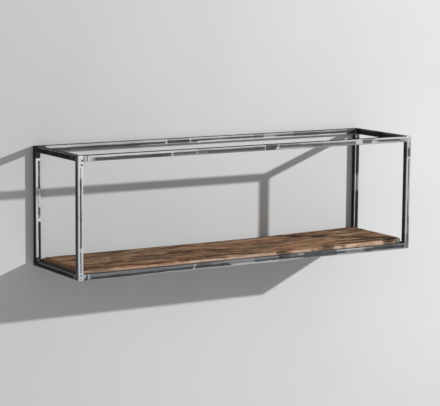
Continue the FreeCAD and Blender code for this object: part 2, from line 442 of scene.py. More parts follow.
@dataclass(frozen=True)
class Shared:
    """An effect that several finishes use, kept as one node group.

    Attributes:
        name: name of the group.
        inputs: names of its inputs with their usual values.
        outputs: names of its outputs with their socket kinds.
        draw: draws the inside, from the canvas and the inputs to the outputs.
    """

    name: str
    inputs: tuple[tuple[str, object], ...]
    outputs: tuple[tuple[str, str], ...]
    draw: Callable[[NodeCanvas, dict], dict]

    def group(self) -> bpy.types.NodeTree:
        """Builds the node group, once.

        Returns:
            The node group.
        """
        found = bpy.data.node_groups.get(self.name)
        if found:
            return found
        tree = bpy.data.node_groups.new(self.name, "ShaderNodeTree")
        for name, usual in self.inputs:
            kind = "NodeSocketFloat" if isinstance(usual, float) else "NodeSocketVector"
            socket = tree.interface.new_socket(name=name, in_out="INPUT", socket_type=kind)
            socket.default_value = usual
        for name, kind in self.outputs:
            tree.interface.new_socket(name=name, in_out="OUTPUT", socket_type="NodeSocket" + kind)
        canvas = NodeCanvas(tree)
        entry = tree.nodes.new("NodeGroupInput")
        leave = tree.nodes.new("NodeGroupOutput")
        results = self.draw(canvas, {socket.name: socket for socket in entry.outputs if socket.name})
        for name, value in results.items():
            canvas.feed(leave.inputs[name], value)
        return tree


def draw_stretch(canvas: NodeCanvas, given: dict) -> dict:
    """Draws the change from one stretch of a tube to the next.

    Args:
        canvas: the group's canvas.
        given: its inputs by name.

    Returns:
        The band and the tone with this stretch laid on.
    """
    along, _, height = canvas.parts(given["Section"])
    beyond = canvas.minus(along, canvas.plus(given["Start"], canvas.times(given["Slant"], height)))
    factor = canvas.span(beyond, canvas.times(given["Soft"], -1.0), given["Soft"])
    return {name: canvas.mix(MixKind.VECTOR, factor, given[name + " before"], given[name + " here"])
            for name in ("Band", "Tone")}


def draw_arris_wear(canvas: NodeCanvas, given: dict) -> dict:
    """Draws the bands that grinding leaves along a tube's four arrises, and the face between.

    Args:
        canvas: the group's canvas.
        given: its inputs by name.

    Returns:
        How bare the metal is, from 0 to 1.
    """
    _, depth, height = canvas.parts(given["Section"])
    width, shift, line = canvas.parts(given["Band"])
    face, upper, lower = canvas.parts(given["Tone"])
    moved_height = canvas.minus(height, shift)
    deep = canvas.maths("ABSOLUTE", depth)
    high = canvas.maths("ABSOLUTE", height)
    nearest = canvas.maths("MINIMUM", deep, canvas.maths("ABSOLUTE", moved_height))
    from_arris = canvas.minus(given["Half"], nearest)

    shifted = canvas.moved(given["Section"], given["Offset"])
    slow = canvas.uneven(shifted, (14.0, 90.0, 90.0))
    quick = canvas.uneven(shifted, (170.0, 260.0, 260.0))
    drift = canvas.plus(canvas.times(slow, 3.0), canvas.times(quick, 1.1))
    width = canvas.plus(width, canvas.times(drift, given["Drift"]))
    on_band = canvas.fade(from_arris, canvas.minus(width, BAND_SOFT), canvas.plus(width, BAND_SOFT),
                          smooth=True)
    tone = canvas.between(canvas.span(moved_height, -BAND_SOFT, BAND_SOFT), lower, upper)
    result = canvas.between(on_band, face, tone)

    on_flank = canvas.span(canvas.minus(high, deep), *FLANK_TURN)
    result = canvas.times(result, canvas.between(on_flank, 1.0, given["Flank"]))
    on_crest = canvas.fade(canvas.minus(given["Half"], height), *CREST_EDGE)
    result = canvas.times(result, canvas.between(on_crest, 1.0, given["Crest"]))
    inside = canvas.minus(given["Half"], canvas.maths("MINIMUM", deep, high))
    line = canvas.times(line, canvas.fade(inside, *LINE_EDGE))
    line = canvas.times(line, canvas.fade(height, -LINE_SIDE, LINE_SIDE))
    return {"Bare": canvas.larger(result, line)}


def draw_comb(canvas: NodeCanvas, given: dict) -> dict:
    """Draws a row of short grinding marks across a tube's face.

    Args:
        canvas: the group's canvas.
        given: its inputs by name.

    Returns:
        The marks as a mask.
    """
    along, _, height = canvas.parts(given["Section"])
    inside = canvas.times(canvas.maths("GREATER_THAN", along, given["Start"]),
                          canvas.maths("LESS_THAN", along, given["End"]))
    leaning = canvas.plus(along, canvas.times(height, 0.25))
    turns = canvas.maths("DIVIDE", canvas.times(leaning, 2.0 * math.pi), given["Period"])
    return {"Mask": canvas.times(canvas.span(canvas.maths("SINE", turns), -0.2, 0.7), inside)}


def draw_grind_marks(canvas: NodeCanvas, given: dict) -> dict:
    """Draws the fine parallel scratches of a grinding disc or belt.

    Args:
        canvas: the group's canvas.
        given: its inputs by name.

    Returns:
        The scratches as a mask and as a height.
    """
    broader = canvas.vector("MULTIPLY", given["Stretch"], (0.3, 0.3, 0.3))
    fine = canvas.noise(given["Vector"], given["Stretch"], 3.0, 0.7)
    broad = canvas.noise(given["Vector"], broader)
    both = canvas.plus(canvas.times(fine, 0.6), canvas.times(broad, 0.4))
    return {"Mask": canvas.span(both, 0.36, 0.64), "Height": both}


def draw_mill_scale(canvas: NodeCanvas, given: dict) -> dict:
    """Draws the blue-grey oxide skin of rolled steel, with its clouds and specks.

    Args:
        canvas: the group's canvas.
        given: its inputs by name.

    Returns:
        The skin's colour, roughness and height.
    """
    clouds = canvas.noise(given["Vector"], (18.0, 60.0, 60.0), 4.0, 0.6, 0.4)
    specks = canvas.noise(given["Vector"], (700.0, 900.0, 900.0), 2.0, 0.6)
    colour = canvas.blend(canvas.span(clouds, 0.3, 0.7), (0.016, 0.018, 0.023), (0.052, 0.055, 0.062))
    colour = canvas.layered(colour, (specks, 0.56, 0.70, 1.0, (0.13, 0.13, 0.13)),
                            (specks, 0.42, 0.30, 1.0, (0.008, 0.008, 0.010)))
    return {"Colour": colour, "Roughness": canvas.span(clouds, 0.3, 0.7, 0.36, 0.52), "Height": specks}


def draw_pits(canvas: NodeCanvas, given: dict) -> dict:
    """Draws small dark pits and slag spots.

    Args:
        canvas: the group's canvas.
        given: its inputs by name.

    Returns:
        The pits as a mask.
    """
    gap = canvas.cells(given["Vector"], given["Stretch"])
    broader = canvas.vector("MULTIPLY", given["Stretch"], (0.45, 0.45, 0.45))
    size = canvas.span(canvas.noise(given["Vector"], broader, 1.0), 0.48, 0.70, 0.0, 0.42)
    inside = canvas.fade(gap, canvas.minus(size, 0.10), size)
    return {"Mask": canvas.times(inside, given["Amount"])}


def draw_rust(canvas: NodeCanvas, given: dict) -> dict:
    """Draws thin brown stains that gather in clouds.

    Args:
        canvas: the group's canvas.
        given: its inputs by name.

    Returns:
        The stain's mask and colour.
    """
    clouds = canvas.noise(given["Vector"], (45.0, 45.0, 45.0), 5.0, 0.7)
    grains = canvas.noise(given["Vector"], (900.0, 900.0, 900.0), 2.0, 0.6)
    mask = canvas.times(canvas.span(clouds, given["Threshold"], 0.85), canvas.span(grains, 0.35, 0.65))
    return {"Mask": mask, "Colour": canvas.blend(grains, (0.060, 0.022, 0.010), (0.19, 0.085, 0.036))}


def draw_knot(canvas: NodeCanvas, given: dict) -> dict:
    """Draws a knot in a plank, and how it pushes the grain aside.

    Args:
        canvas: the group's canvas.
        given: its inputs by name.

    Returns:
        The grain's coordinates bent round the knot, and the knot's mask and rings.
    """
    away = canvas.vector("SUBTRACT", given["Vector"], given["Centre"])
    scaled = canvas.vector("MULTIPLY", away, (0.6, 1.0, 0.0))
    reach = canvas.maths("DIVIDE", canvas.vector("LENGTH", scaled), given["Radius"])
    reach = canvas.plus(reach, canvas.times(canvas.uneven(given["Vector"], (90.0, 90.0, 0.0)), 0.5))
    strength = canvas.maths("EXPONENT", canvas.times(canvas.times(reach, reach), -0.22))
    push = canvas.vector("MULTIPLY", away, (0.0, -1.0, 0.0))
    pushed = canvas.vector("MULTIPLY", push, canvas.combined(y=strength))
    rings = canvas.span(canvas.maths("SINE", canvas.times(reach, 19.0)), -0.6, 0.8)
    return {
        "Grain": canvas.moved(given["Grain"], pushed),
        "Mask": canvas.fade(reach, 0.75, 1.1),
        "Rings": rings,
    }


STRETCH = Shared(
    "stretch",
    (("Section", NONE), ("Band before", NONE), ("Tone before", NONE), ("Band here", NONE),
     ("Tone here", NONE), ("Start", 0.0), ("Slant", 0.0), ("Soft", 0.0005)),
    (("Band", "Vector"), ("Tone", "Vector")), draw_stretch)
ARRIS_WEAR = Shared(
    "arris_wear",
    (("Section", NONE), ("Offset", NONE), ("Band", NONE), ("Tone", NONE), ("Half", 0.0075),
     ("Drift", 0.001), ("Flank", 1.0), ("Crest", 1.0)),
    (("Bare", "Float"),), draw_arris_wear)
COMB = Shared(
    "comb", (("Section", NONE), ("Start", 0.0), ("End", 0.0), ("Period", 0.0035)),
    (("Mask", "Float"),), draw_comb)
GRIND_MARKS = Shared(
    "grind_marks", (("Vector", NONE), ("Stretch", (60.0, 1500.0, 1500.0))),
    (("Mask", "Float"), ("Height", "Float")), draw_grind_marks)
MILL_SCALE = Shared(
    "mill_scale", (("Vector", NONE),),
    (("Colour", "Color"), ("Roughness", "Float"), ("Height", "Float")), draw_mill_scale)
PITS = Shared(
    "pits", (("Vector", NONE), ("Stretch", (300.0, 300.0, 300.0)), ("Amount", 1.0)),
    (("Mask", "Float"),), draw_pits)
RUST = Shared(
    "rust", (("Vector", NONE), ("Threshold", 0.6)),
    (("Mask", "Float"), ("Colour", "Color")), draw_rust)
KNOT = Shared(
    "knot", (("Vector", NONE), ("Grain", NONE), ("Centre", NONE), ("Radius", 0.012)),
    (("Grain", "Vector"), ("Mask", "Float"), ("Rings", "Float")), draw_knot)


# Finishes


class Finish:
    """Common start of every finish: a Principled surface on Object coordinates."""

    def material(self, name: str) -> Material:
        """Builds the material.

        Args:
            name: the material's name.

        Returns:
            The finished material.
        """
        material = bpy.data.materials.new(name)
        material.use_nodes = True
        canvas = NodeCanvas(material.node_tree)
        shader = canvas.add("BsdfPrincipled")
        leave = canvas.add("OutputMaterial")
        canvas.feed(leave.inputs["Surface"], self.covered(canvas, shader.outputs[0]))
        place = canvas.add("TexCoord").outputs["Object"]
        for socket, value in self.paint(canvas, place).items():
            canvas.feed(shader.inputs[socket], value)
        return material

    def covered(self, canvas: NodeCanvas, surface: Socket) -> Socket:
        """Gives the shader that is seen, which is the surface itself for most finishes."""
        return surface

    def paint(self, canvas: NodeCanvas, place: Socket) -> dict[str, Feed]:
        """Draws the finish.

        Args:
            canvas: the material's canvas.
            place: Object coordinates.

        Returns:
            The shader's values by socket.
        """
        raise NotImplementedError


@dataclass(frozen=True)
class Stretch:
    """A stretch of a tube and how it was ground, in mm.

    Attributes:
        start: where it starts along the row's own axis.
        width: width of the ground bands along the arrises.
        face: how bare the face between them is, from 0 to 1.
        upper: how bare the upper or left bands are.
        lower: how bare the lower or right bands are.
        shift: how far the dark band is moved up or left.
        slant: how far the start moves along for each mm of height.
        soft: half length of the change at the start.
        line: how bare the lower or right arris itself is.
    """

    start: float
    width: float = 3.4
    face: float = 0.02
    upper: float = 0.6
    lower: float = 0.6
    shift: float = 0.0
    slant: float = 0.0
    soft: float = 0.6
    line: float = 0.0


@dataclass(frozen=True)
class Comb:
    """A row of short grinding marks across a tube's faces, in mm.

    Attributes:
        start: where the row starts.
        end: where it ends.
        period: distance from one mark to the next.
        strength: how bare the marks are, from 0 to 1.
    """

    start: float
    end: float
    period: float = 3.5
    strength: float = 0.3


@dataclass(frozen=True)
class Mark:
    """A dark pit or slag spot on a tube's front face, in mm.

    Attributes:
        x: its place along the shelf.
        z: its height.
        radius: its radius.
        front: place of the front face along Y.
    """

    x: float
    z: float
    radius: float
    front: float = -125.0


@dataclass(frozen=True)
class Grinding:
    """How one tube was ground, and what the rest of its skin is like.

    Attributes:
        stretches: its stretches in order.
        combs: its rows of short marks.
        marks: its dark pits and spots.
        rough: roughness of its ground metal at its left or lower end and at the other.
        soot: how sooty its skin is, from 0 to 1.
        flank: share of the grinding on the faces across its height, or the left and right ones.
        crest: share of the grinding on the upper or left arrises.
    """

    stretches: tuple[Stretch, ...]
    combs: tuple[Comb, ...] = ()
    marks: tuple[Mark, ...] = ()
    rough: tuple[float, float] = (0.38, 0.26)
    soot: float = 0.0
    flank: float = 1.0
    crest: float = 1.0


@dataclass(frozen=True)
class TubeSteel(Finish):
    """Lacquered square tube: mill scale with ground arrises and ground stretches.

    Attributes:
        run: the tube's axis.
        centre: its middle, in metres.
        length: its length, in metres.
        grinding: how it was ground.
        seed: offset of the patterns.
        ripple: how far a stretch's start wanders along the tube, in metres.
        joint: distance from the tube's end over which the pits of the weld fade, in metres.
    """

    run: Run
    centre: Vector
    length: float
    grinding: Grinding
    seed: float = 0.0
    ripple: float = 0.0025
    joint: tuple[float, float] = (0.004, 0.034)

    def bareness(self, canvas: NodeCanvas, section: Feed, wavy: Feed, offset: Triple) -> Feed:
        """Draws how bare the metal is all over the tube.

        Args:
            canvas: the material's canvas.
            section: coordinates along the tube and across its section.
            wavy: the same with a slight wave along the tube.
            offset: offset of the patterns.

        Returns:
            How bare the metal is, from 0 to 1.
        """
        middle = self.centre[tuple(Run).index(self.run)]
        band: Feed = NONE
        tone: Feed = NONE
        for place in self.grinding.stretches:
            step = canvas.effect(
                STRETCH, section=wavy, band_before=band, tone_before=tone,
                band_here=(place.width * MM, place.shift * MM, place.line),
                tone_here=(place.face, place.upper, place.lower),
                start=place.start * MM - middle, slant=place.slant, soft=place.soft * MM)
            band, tone = step["Band"], step["Tone"]
        worn = canvas.effect(ARRIS_WEAR, section=section, offset=offset, band=band, tone=tone,
                             flank=self.grinding.flank, crest=self.grinding.crest)
        result: Feed = worn["Bare"]
        for row in self.grinding.combs:
            marks = canvas.effect(COMB, section=section, start=row.start * MM - middle,
                                  end=row.end * MM - middle, period=row.period * MM)
            result = canvas.larger(result, canvas.times(marks["Mask"], row.strength))
        return result

    def darkness(self, canvas: NodeCanvas, place: Socket, moved: Socket, to_joint: Socket,
                 ripple: Socket) -> Feed:
        """Draws the pits near the joints and the tube's own dark spots.

        Args:
            canvas: the material's canvas.
            place: Object coordinates.
            moved: coordinates of the tube's patterns.
            to_joint: distance to the nearer end of the tube.
            ripple: a slight wave that makes the spots ragged.

        Returns:
            The pits and spots as a mask.
        """
        near_joint = canvas.fade(to_joint, *self.joint)
        pits = canvas.effect(PITS, vector=moved, stretch=(360.0,) * 3, amount=near_joint)
        dark: Feed = pits["Mask"]
        for mark in self.grinding.marks:
            gap = canvas.vector("DISTANCE", place, (mark.x * MM, mark.front * MM, mark.z * MM))
            spot = canvas.fade(canvas.plus(gap, ripple), mark.radius * MM * 0.55, mark.radius * MM * 1.15)
            dark = canvas.larger(dark, spot)
        return dark

    def paint(self, canvas: NodeCanvas, place: Socket) -> dict[str, Feed]:
        """Draws the tube's skin, ground bands, stretches and marks.

        Args:
            canvas: the material's canvas.
            place: Object coordinates.

        Returns:
            The shader's values by socket.
        """
        soot = self.grinding.soot
        turn = Euler(self.run.value)
        section = canvas.turned(place, turn, turn.to_matrix() @ -self.centre)
        along = canvas.parts(section)[0]
        offset = (self.seed, self.seed * 0.7, 0.0)
        moved = canvas.moved(section, offset)
        ripple = canvas.times(canvas.uneven(moved, (350.0,) * 3), self.ripple)
        wavy = canvas.moved(section, canvas.combined(ripple))

        along_marks = canvas.effect(GRIND_MARKS, vector=moved, stretch=(45.0, 1400.0, 1400.0))
        cross_marks = canvas.effect(GRIND_MARKS, vector=moved, stretch=(900.0, 70.0, 70.0))
        scale = canvas.effect(MILL_SCALE, vector=moved)
        rust = canvas.effect(RUST, vector=moved, threshold=0.62)
        ground = canvas.times(self.bareness(canvas, section, wavy, offset),
                              canvas.span(cross_marks["Mask"], 0.0, 1.0, 0.82, 1.0))
        shine = canvas.blend(along_marks["Mask"], (0.55, 0.55, 0.555), (0.92, 0.92, 0.915))
        blue = (0.115, 0.130, 0.165)
        skin = canvas.layered(scale["Colour"], (along_marks["Height"], 0.53, 0.66, 0.55, blue))
        skin = canvas.blend(soot, skin, (0.006, 0.006, 0.007))

        to_joint = canvas.minus(self.length / 2, canvas.maths("ABSOLUTE", along))
        dark = self.darkness(canvas, place, moved, to_joint, ripple)
        colour = canvas.blend(dark, canvas.blend(ground, skin, shine), (0.014, 0.015, 0.019))
        colour = canvas.blend(canvas.times(rust["Mask"], 0.55), colour, rust["Colour"])

        worn = canvas.times(ground, canvas.minus(1.0, dark))
        reach = -self.length / 2 if self.run is Run.ACROSS else self.length / 2
        smooth = canvas.plus(canvas.span(along, reach, -reach, *self.grinding.rough),
                             canvas.span(along_marks["Mask"], 0.0, 1.0, 0.05, -0.03))
        relief = canvas.between(worn, canvas.times(scale["Height"], 0.5), along_marks["Height"])
        return {
            "Base Color": colour,
            "Roughness": canvas.between(worn, scale["Roughness"], smooth),
            "Metallic": canvas.between(worn, 0.45 * (1.0 - soot), 1.0),
            "Coat Weight": 0.25 * (1.0 - soot),
            "Coat Roughness": 0.22,
            "Specular IOR Level": 0.5 - 0.4 * soot,
            "Normal": canvas.bump(relief, 0.30, 0.00012),
        }


@dataclass(frozen=True)
class GroundSteel(Finish):
    """Corner metal that was welded and ground to a rounded shape.

    Attributes:
        brightness: 1 for clean ground metal, 0 for burnt black.
        rough: roughness of the clean metal.
        seed: offset of the patterns.
        left_painted_shade: how dark the faces at the shelf's left end are painted, from 0 to 1; this is
            painted shade, as these faces turn away from the lamp.
        left_end: where that painted shade is full and where it ends along X, in metres.
    """

    brightness: float = 1.0
    rough: float = 0.36
    seed: float = 0.0
    left_painted_shade: float = 0.8
    left_end: tuple[float, float] = (-0.4996, -0.4988)

    def paint(self, canvas: NodeCanvas, place: Socket) -> dict[str, Feed]:
        """Draws disc scratches, burnt patches, pits and painted shade on the left end faces.

        Args:
            canvas: the material's canvas.
            place: Object coordinates.

        Returns:
            The shader's values by socket.
        """
        moved = canvas.moved(place, (self.seed, 0.0, 0.0))
        turned = canvas.turned(moved, (0.5, 0.35, 0.6 + self.seed))
        marks = canvas.effect(GRIND_MARKS, vector=turned, stretch=(120.0, 1500.0, 1500.0))
        pits = canvas.effect(PITS, vector=turned, stretch=(340.0,) * 3, amount=1.0)["Mask"]
        level = 0.30 + 0.42 * (1.0 - self.brightness)
        burnt = canvas.span(canvas.noise(turned, (240.0,) * 3, 3.0, 0.6), level + 0.05, level - 0.05)
        # Painted shade: the faces at the left end are darkened towards black because they turn away from
        # the key lamp
        painted_left_shade = canvas.span(canvas.parts(place)[0], *self.left_end, self.left_painted_shade, 0.0)
        dark = canvas.larger(canvas.larger(burnt, pits), painted_left_shade)
        bright = canvas.blend(marks["Mask"], (0.46, 0.46, 0.465), (0.80, 0.80, 0.79))
        clean = canvas.span(marks["Mask"], 0.0, 1.0, self.rough + 0.05, self.rough - 0.04)
        return {
            "Base Color": canvas.blend(dark, bright, (0.014, 0.015, 0.018)),
            "Roughness": canvas.between(dark, clean, 0.55),
            "Metallic": canvas.between(dark, 1.0, 0.4),
            "Coat Weight": 0.2,
            "Coat Roughness": 0.25,
            "Normal": canvas.bump(canvas.minus(marks["Height"], dark), 0.35, 0.00012),
        }


@dataclass(frozen=True)
class WeldMetal(Finish):
    """Silvery weld bead with brown and blue heat colours and a little soot."""

    def paint(self, canvas: NodeCanvas, place: Socket) -> dict[str, Feed]:
        """Draws the heat colours and soot of a bead.

        Args:
            canvas: the material's canvas.
            place: Object coordinates.

        Returns:
            The shader's values by socket.
        """
        heat = canvas.noise(place, (300.0,) * 3)
        soot = canvas.noise(place, (700.0,) * 3, 3.0, 0.7)
        colour = canvas.layered(
            (0.10, 0.12, 0.19), (heat, 0.35, 0.50, 1.0, (0.22, 0.15, 0.09)),
            (heat, 0.48, 0.62, 1.0, (0.36, 0.36, 0.37)), (soot, 0.52, 0.66, 1.0, (0.03, 0.03, 0.033)))
        return {
            "Base Color": colour,
            "Roughness": canvas.span(soot, 0.4, 0.65, 0.32, 0.6),
            "Metallic": canvas.span(soot, 0.5, 0.66, 0.9, 0.3),
            "Coat Weight": 0.2,
            "Normal": canvas.bump(soot, 0.35, 0.0001),
        }


@dataclass(frozen=True)
class FlatSteel(Finish):
    """Hot-rolled flat bar with mill scale, belt scratches and some rust."""

    def paint(self, canvas: NodeCanvas, place: Socket) -> dict[str, Feed]:
        """Draws scale, scratches and rust.

        Args:
            canvas: the material's canvas.
            place: Object coordinates.

        Returns:
            The shader's values by socket.
        """
        scale = canvas.effect(MILL_SCALE, vector=place)
        marks = canvas.effect(GRIND_MARKS, vector=place, stretch=(1200.0, 70.0, 1200.0))
        rust = canvas.effect(RUST, vector=place, threshold=0.5)
        scratched = canvas.span(marks["Height"], 0.56, 0.66)
        colour = canvas.blend(scratched, scale["Colour"], (0.42, 0.42, 0.42))
        return {
            "Base Color": canvas.blend(canvas.times(rust["Mask"], 0.8), colour, rust["Colour"]),
            "Roughness": canvas.between(scratched, scale["Roughness"], 0.34),
            "Metallic": canvas.between(scratched, 0.5, 0.95),
            "Coat Weight": 0.15,
            "Normal": canvas.bump(marks["Height"], 0.25, 0.0001),
        }


@dataclass(frozen=True)
class ZincPlate(Finish):
    """Bright zinc plating of the wood screws."""

    def paint(self, canvas: NodeCanvas, place: Socket) -> dict[str, Feed]:
        """Draws plating clouds and driver scratches.

        Args:
            canvas: the material's canvas.
            place: Object coordinates.

        Returns:
            The shader's values by socket.
        """
        clouds = canvas.noise(place, (420.0,) * 3, 3.0)
        marks = canvas.effect(GRIND_MARKS, vector=place, stretch=(2000.0, 300.0, 300.0))
        rust = canvas.effect(RUST, vector=place, threshold=0.55)
        colour = canvas.blend(canvas.span(clouds, 0.35, 0.65), (0.42, 0.44, 0.47), (0.66, 0.67, 0.66))
        return {
            "Base Color": canvas.blend(canvas.times(rust["Mask"], 0.5), colour, rust["Colour"]),
            "Roughness": canvas.span(clouds, 0.3, 0.7, 0.26, 0.44),
            "Metallic": canvas.minus(1.0, canvas.times(rust["Mask"], 0.6)),
            "Normal": canvas.bump(marks["Height"], 0.15, 0.00008),
        }


@dataclass(frozen=True)
class OldHardwood(Finish):
    """Reclaimed hardwood: dirty brown faces, dark checks and stains, tan wood where it is worn, painted
    shadow along one check and painted light on the shaded left end.

    Attributes:
        underside: height below which the saw's marks show and where they end, in metres.
        painted_light_left_end: where the painted light on the shaded left end is full and where it ends
            along X, in metres.
        bow: how far the saw's arcs bend, in metres for each square metre across.
        knots: knots as (x, y, radius), in mm.
    """

    underside: tuple[float, float] = (0.0045, 0.0057)
    painted_light_left_end: tuple[float, float] = (-0.4800, -0.4735)
    bow: float = 1.7
    knots: tuple[Triple, ...] = ((308, 33, 12), (-98, 20, 9), (-343, -30, 11), (111, -80, 7))

    def grain(self, canvas: NodeCanvas, place: Socket) -> dict[str, Feed]:
        """Draws the plank's swaying grain with its knots.

        Args:
            canvas: the material's canvas.
            place: Object coordinates.

        Returns:
            The grain's coordinates, and the knots' mask and rings, by name.
        """
        along, across, up = canvas.parts(place)
        sway = canvas.times(canvas.uneven(place, (3.0, 9.0, 9.0)), 0.045)
        grain: Feed = canvas.combined(along, canvas.plus(across, sway), up)
        mask: Feed = 0.0
        rings: Feed = 0.0
        for x, y, radius in self.knots:
            knot = canvas.effect(KNOT, vector=place, grain=grain, centre=(x * MM, y * MM, 0.0),
                                 radius=radius * MM)
            grain = knot["Grain"]
            mask = canvas.larger(mask, knot["Mask"])
            rings = canvas.between(knot["Mask"], rings, knot["Rings"])
        return {"grain": grain, "knots": mask, "rings": rings}

    def patterns(self, canvas: NodeCanvas, place: Socket, grain: Feed) -> dict[str, Socket]:
        """Draws the patterns that the plank's colours and relief follow.

        Args:
            canvas: the material's canvas.
            place: Object coordinates.
            grain: the grain's coordinates.

        Returns:
            The patterns by name.
        """
        beside = canvas.moved(place, (5.3, 0.9, 0.2))
        beyond = canvas.moved(place, (3.1, 1.7, 0.4))
        spots = canvas.noise(beside, (22.0, 66.0, 66.0), 4.0, 0.6, 0.5)
        seam = canvas.noise(canvas.moved(grain, (1.3, 0.4, 0.0)), (6.0, 70.0, 70.0))
        from_seam = canvas.maths("ABSOLUTE", canvas.minus(seam, 0.5))
        return {
            "patches": canvas.noise(place, (6.0, 24.0, 24.0), 3.0, 0.55, 0.4),
            "tint": canvas.noise(beyond, (9.0, 30.0, 30.0), 3.0, 0.6, 0.4),
            "spots": spots,
            "bands": canvas.noise(grain, (4.0, 85.0, 85.0), 4.0, 0.62),
            "streaks": canvas.noise(grain, (16.0, 420.0, 420.0), 3.0, 0.65),
            "pores": canvas.noise(grain, (200.0, 3200.0, 3200.0), 1.0),
            "open": canvas.times(canvas.fade(from_seam, 0.004, 0.016), canvas.span(spots, 0.46, 0.54)),
            "rings": canvas.noise(place, (8.0, 190.0, 420.0), 3.0, 0.6, 0.3),
        }

    def paint(self, canvas: NodeCanvas, place: Socket) -> dict[str, Feed]:
        """Draws grain, patches, pores, stains, fresh wood, saw marks, end grain, painted light on the left
        end and the darkening by dirt and painted shadow.

        Args:
            canvas: the material's canvas.
            place: Object coordinates.

        Returns:
            The shader's values by socket.
        """
        worn, dirt, sawn_end = (canvas.add("Attribute", attribute_name=name).outputs["Fac"]
                                for name in PLANK_LAYERS)
        along, across, up = canvas.parts(place)
        wood = self.grain(canvas, place)
        look = self.patterns(canvas, place, wood["grain"])
        tint, bands, streaks, spots = (look[name] for name in ("tint", "bands", "streaks", "spots"))

        heart = canvas.blend(wood["rings"], (0.060, 0.030, 0.018), (0.200, 0.095, 0.048))
        colour = canvas.layered(
            (0.130, 0.062, 0.030),
            (look["patches"], 0.39, 0.60, 1.0, (0.520, 0.300, 0.165)),
            (tint, 0.51, 0.63, 0.85, (0.200, 0.150, 0.105)),
            (tint, 0.48, 0.37, 0.85, (0.400, 0.150, 0.085)),
            (bands, 0.50, 0.62, 0.85, (0.090, 0.044, 0.023)),
            (bands, 0.47, 0.36, 0.85, (0.700, 0.420, 0.235)),
            (streaks, 0.52, 0.68, 0.50, (0.060, 0.032, 0.018)),
            (streaks, 0.46, 0.32, 0.40, (0.600, 0.390, 0.240)),
            (spots, 0.56, 0.66, 0.80, (0.048, 0.026, 0.016)),
            (spots, 0.42, 0.32, 0.60, (0.680, 0.460, 0.310)),
            (look["pores"], 0.60, 0.70, 0.50, (0.040, 0.024, 0.015)))
        colour = canvas.blend(canvas.times(look["open"], 0.9), colour, (0.022, 0.014, 0.010))
        colour = canvas.blend(canvas.times(wood["knots"], 0.85), colour, heart)

        # Fresh wood; worn above 1 gives the palest cream, partly painted light where the front right corner
        # lies in shade
        fresh_wood = canvas.layered(
            (0.64, 0.475, 0.365), (streaks, 0.34, 0.66, 1.0, (0.44, 0.30, 0.225)),
            (spots, 0.50, 0.64, 0.7, (0.36, 0.20, 0.12)), (worn, 1.0, 1.5, 1.0, (0.86, 0.75, 0.62)))
        ragged = canvas.plus(worn, canvas.times(canvas.minus(spots, 0.5), 0.9))
        fresh = canvas.span(ragged, 0.22, 0.62)
        colour = canvas.blend(fresh, colour, fresh_wood)

        under = canvas.fade(up, *self.underside)
        arc = canvas.plus(along, canvas.times(canvas.times(across, across), self.bow))
        saw = canvas.noise(canvas.combined(arc, across), (210.0, 3.0, 3.0), 3.0, 0.7)
        below = canvas.layered(
            (0.290, 0.205, 0.140), (bands, 0.36, 0.64, 1.0, (0.175, 0.115, 0.076)),
            (saw, 0.50, 0.66, 0.35, (0.110, 0.078, 0.056)),
            (streaks, 0.50, 0.68, 0.60, (0.085, 0.055, 0.036)))
        below = canvas.blend(canvas.times(wood["knots"], 0.7), below, heart)
        colour = canvas.blend(under, colour, below)

        cut = canvas.layered((0.110, 0.065, 0.038), (look["rings"], 0.35, 0.65, 1.0, (0.250, 0.155, 0.095)))
        colour = canvas.blend(canvas.times(sawn_end, 0.60), colour, cut)
        # Painted light: a lighter colour lifts the left end, which lies in shade away from the lamp
        painted_light_colour = canvas.layered((0.640, 0.420, 0.290), (streaks, 0.40, 0.60, 1.0, (0.380, 0.225, 0.140)))
        colour = canvas.blend(canvas.span(along, *self.painted_light_left_end, 0.75, 0.0), colour, painted_light_colour)
        # Darkens the wood with dirt and stains, and with the painted shadow along the front right post's
        # shadow line
        colour = canvas.layered(colour, (dirt, 0.15, 0.75, 0.95, (0.026, 0.017, 0.012)))

        relief: Feed = canvas.times(streaks, -0.55)
        for pattern, height in ((bands, -0.3), (spots, -0.6), (look["open"], -0.8),
                                (canvas.times(saw, under), 0.5)):
            relief = canvas.plus(relief, canvas.times(pattern, height))
        return {
            "Base Color": colour,
            "Roughness": canvas.span(canvas.plus(streaks, canvas.times(fresh, 0.2)), 0.3, 0.8, 0.66, 0.9),
            "Specular IOR Level": 0.2,
            "Normal": canvas.bump(relief, 0.6, 0.0009),
        }


@dataclass(frozen=True)
class StagePaint(Finish):
    """Plain pale paint of the floor and the wall, not there when it is seen from behind.

    Attributes:
        tone: colour of the paint.
        cloud: how dark its faint clouds are beside it.
    """

    tone: Triple = (0.60, 0.605, 0.60)
    cloud: float = 0.94

    def covered(self, canvas: NodeCanvas, surface: Socket) -> Socket:
        """Lets the back of the sheet be seen through.

        Args:
            canvas: the material's canvas.
            surface: the painted surface.

        Returns:
            The surface with its clear back.
        """
        node = canvas.add("MixShader")
        canvas.feed(node.inputs[0], canvas.add("NewGeometry").outputs["Backfacing"])
        canvas.feed(node.inputs[1], surface)
        canvas.feed(node.inputs[2], canvas.add("BsdfTransparent").outputs[0])
        return node.outputs[0]

    def paint(self, canvas: NodeCanvas, place: Socket) -> dict[str, Feed]:
        """Draws the paint with its faint clouds.

        Args:
            canvas: the material's canvas.
            place: Object coordinates.

        Returns:
            The shader's values by socket.
        """
        clouds = canvas.span(canvas.noise(place, (1.6,) * 3, 4.0), 0.35, 0.65)
        dark = tuple(part * self.cloud for part in self.tone)
        return {
            "Base Color": canvas.blend(clouds, dark, self.tone),
            "Roughness": 0.9,
            "Specular IOR Level": 0.1,
        }


# Mesh work


def bumpy(x: float, y: float, z: float) -> float:
    """Gives smooth noise from -1 to 1 at a place."""
    return noise.noise(Vector((x, y, z)))


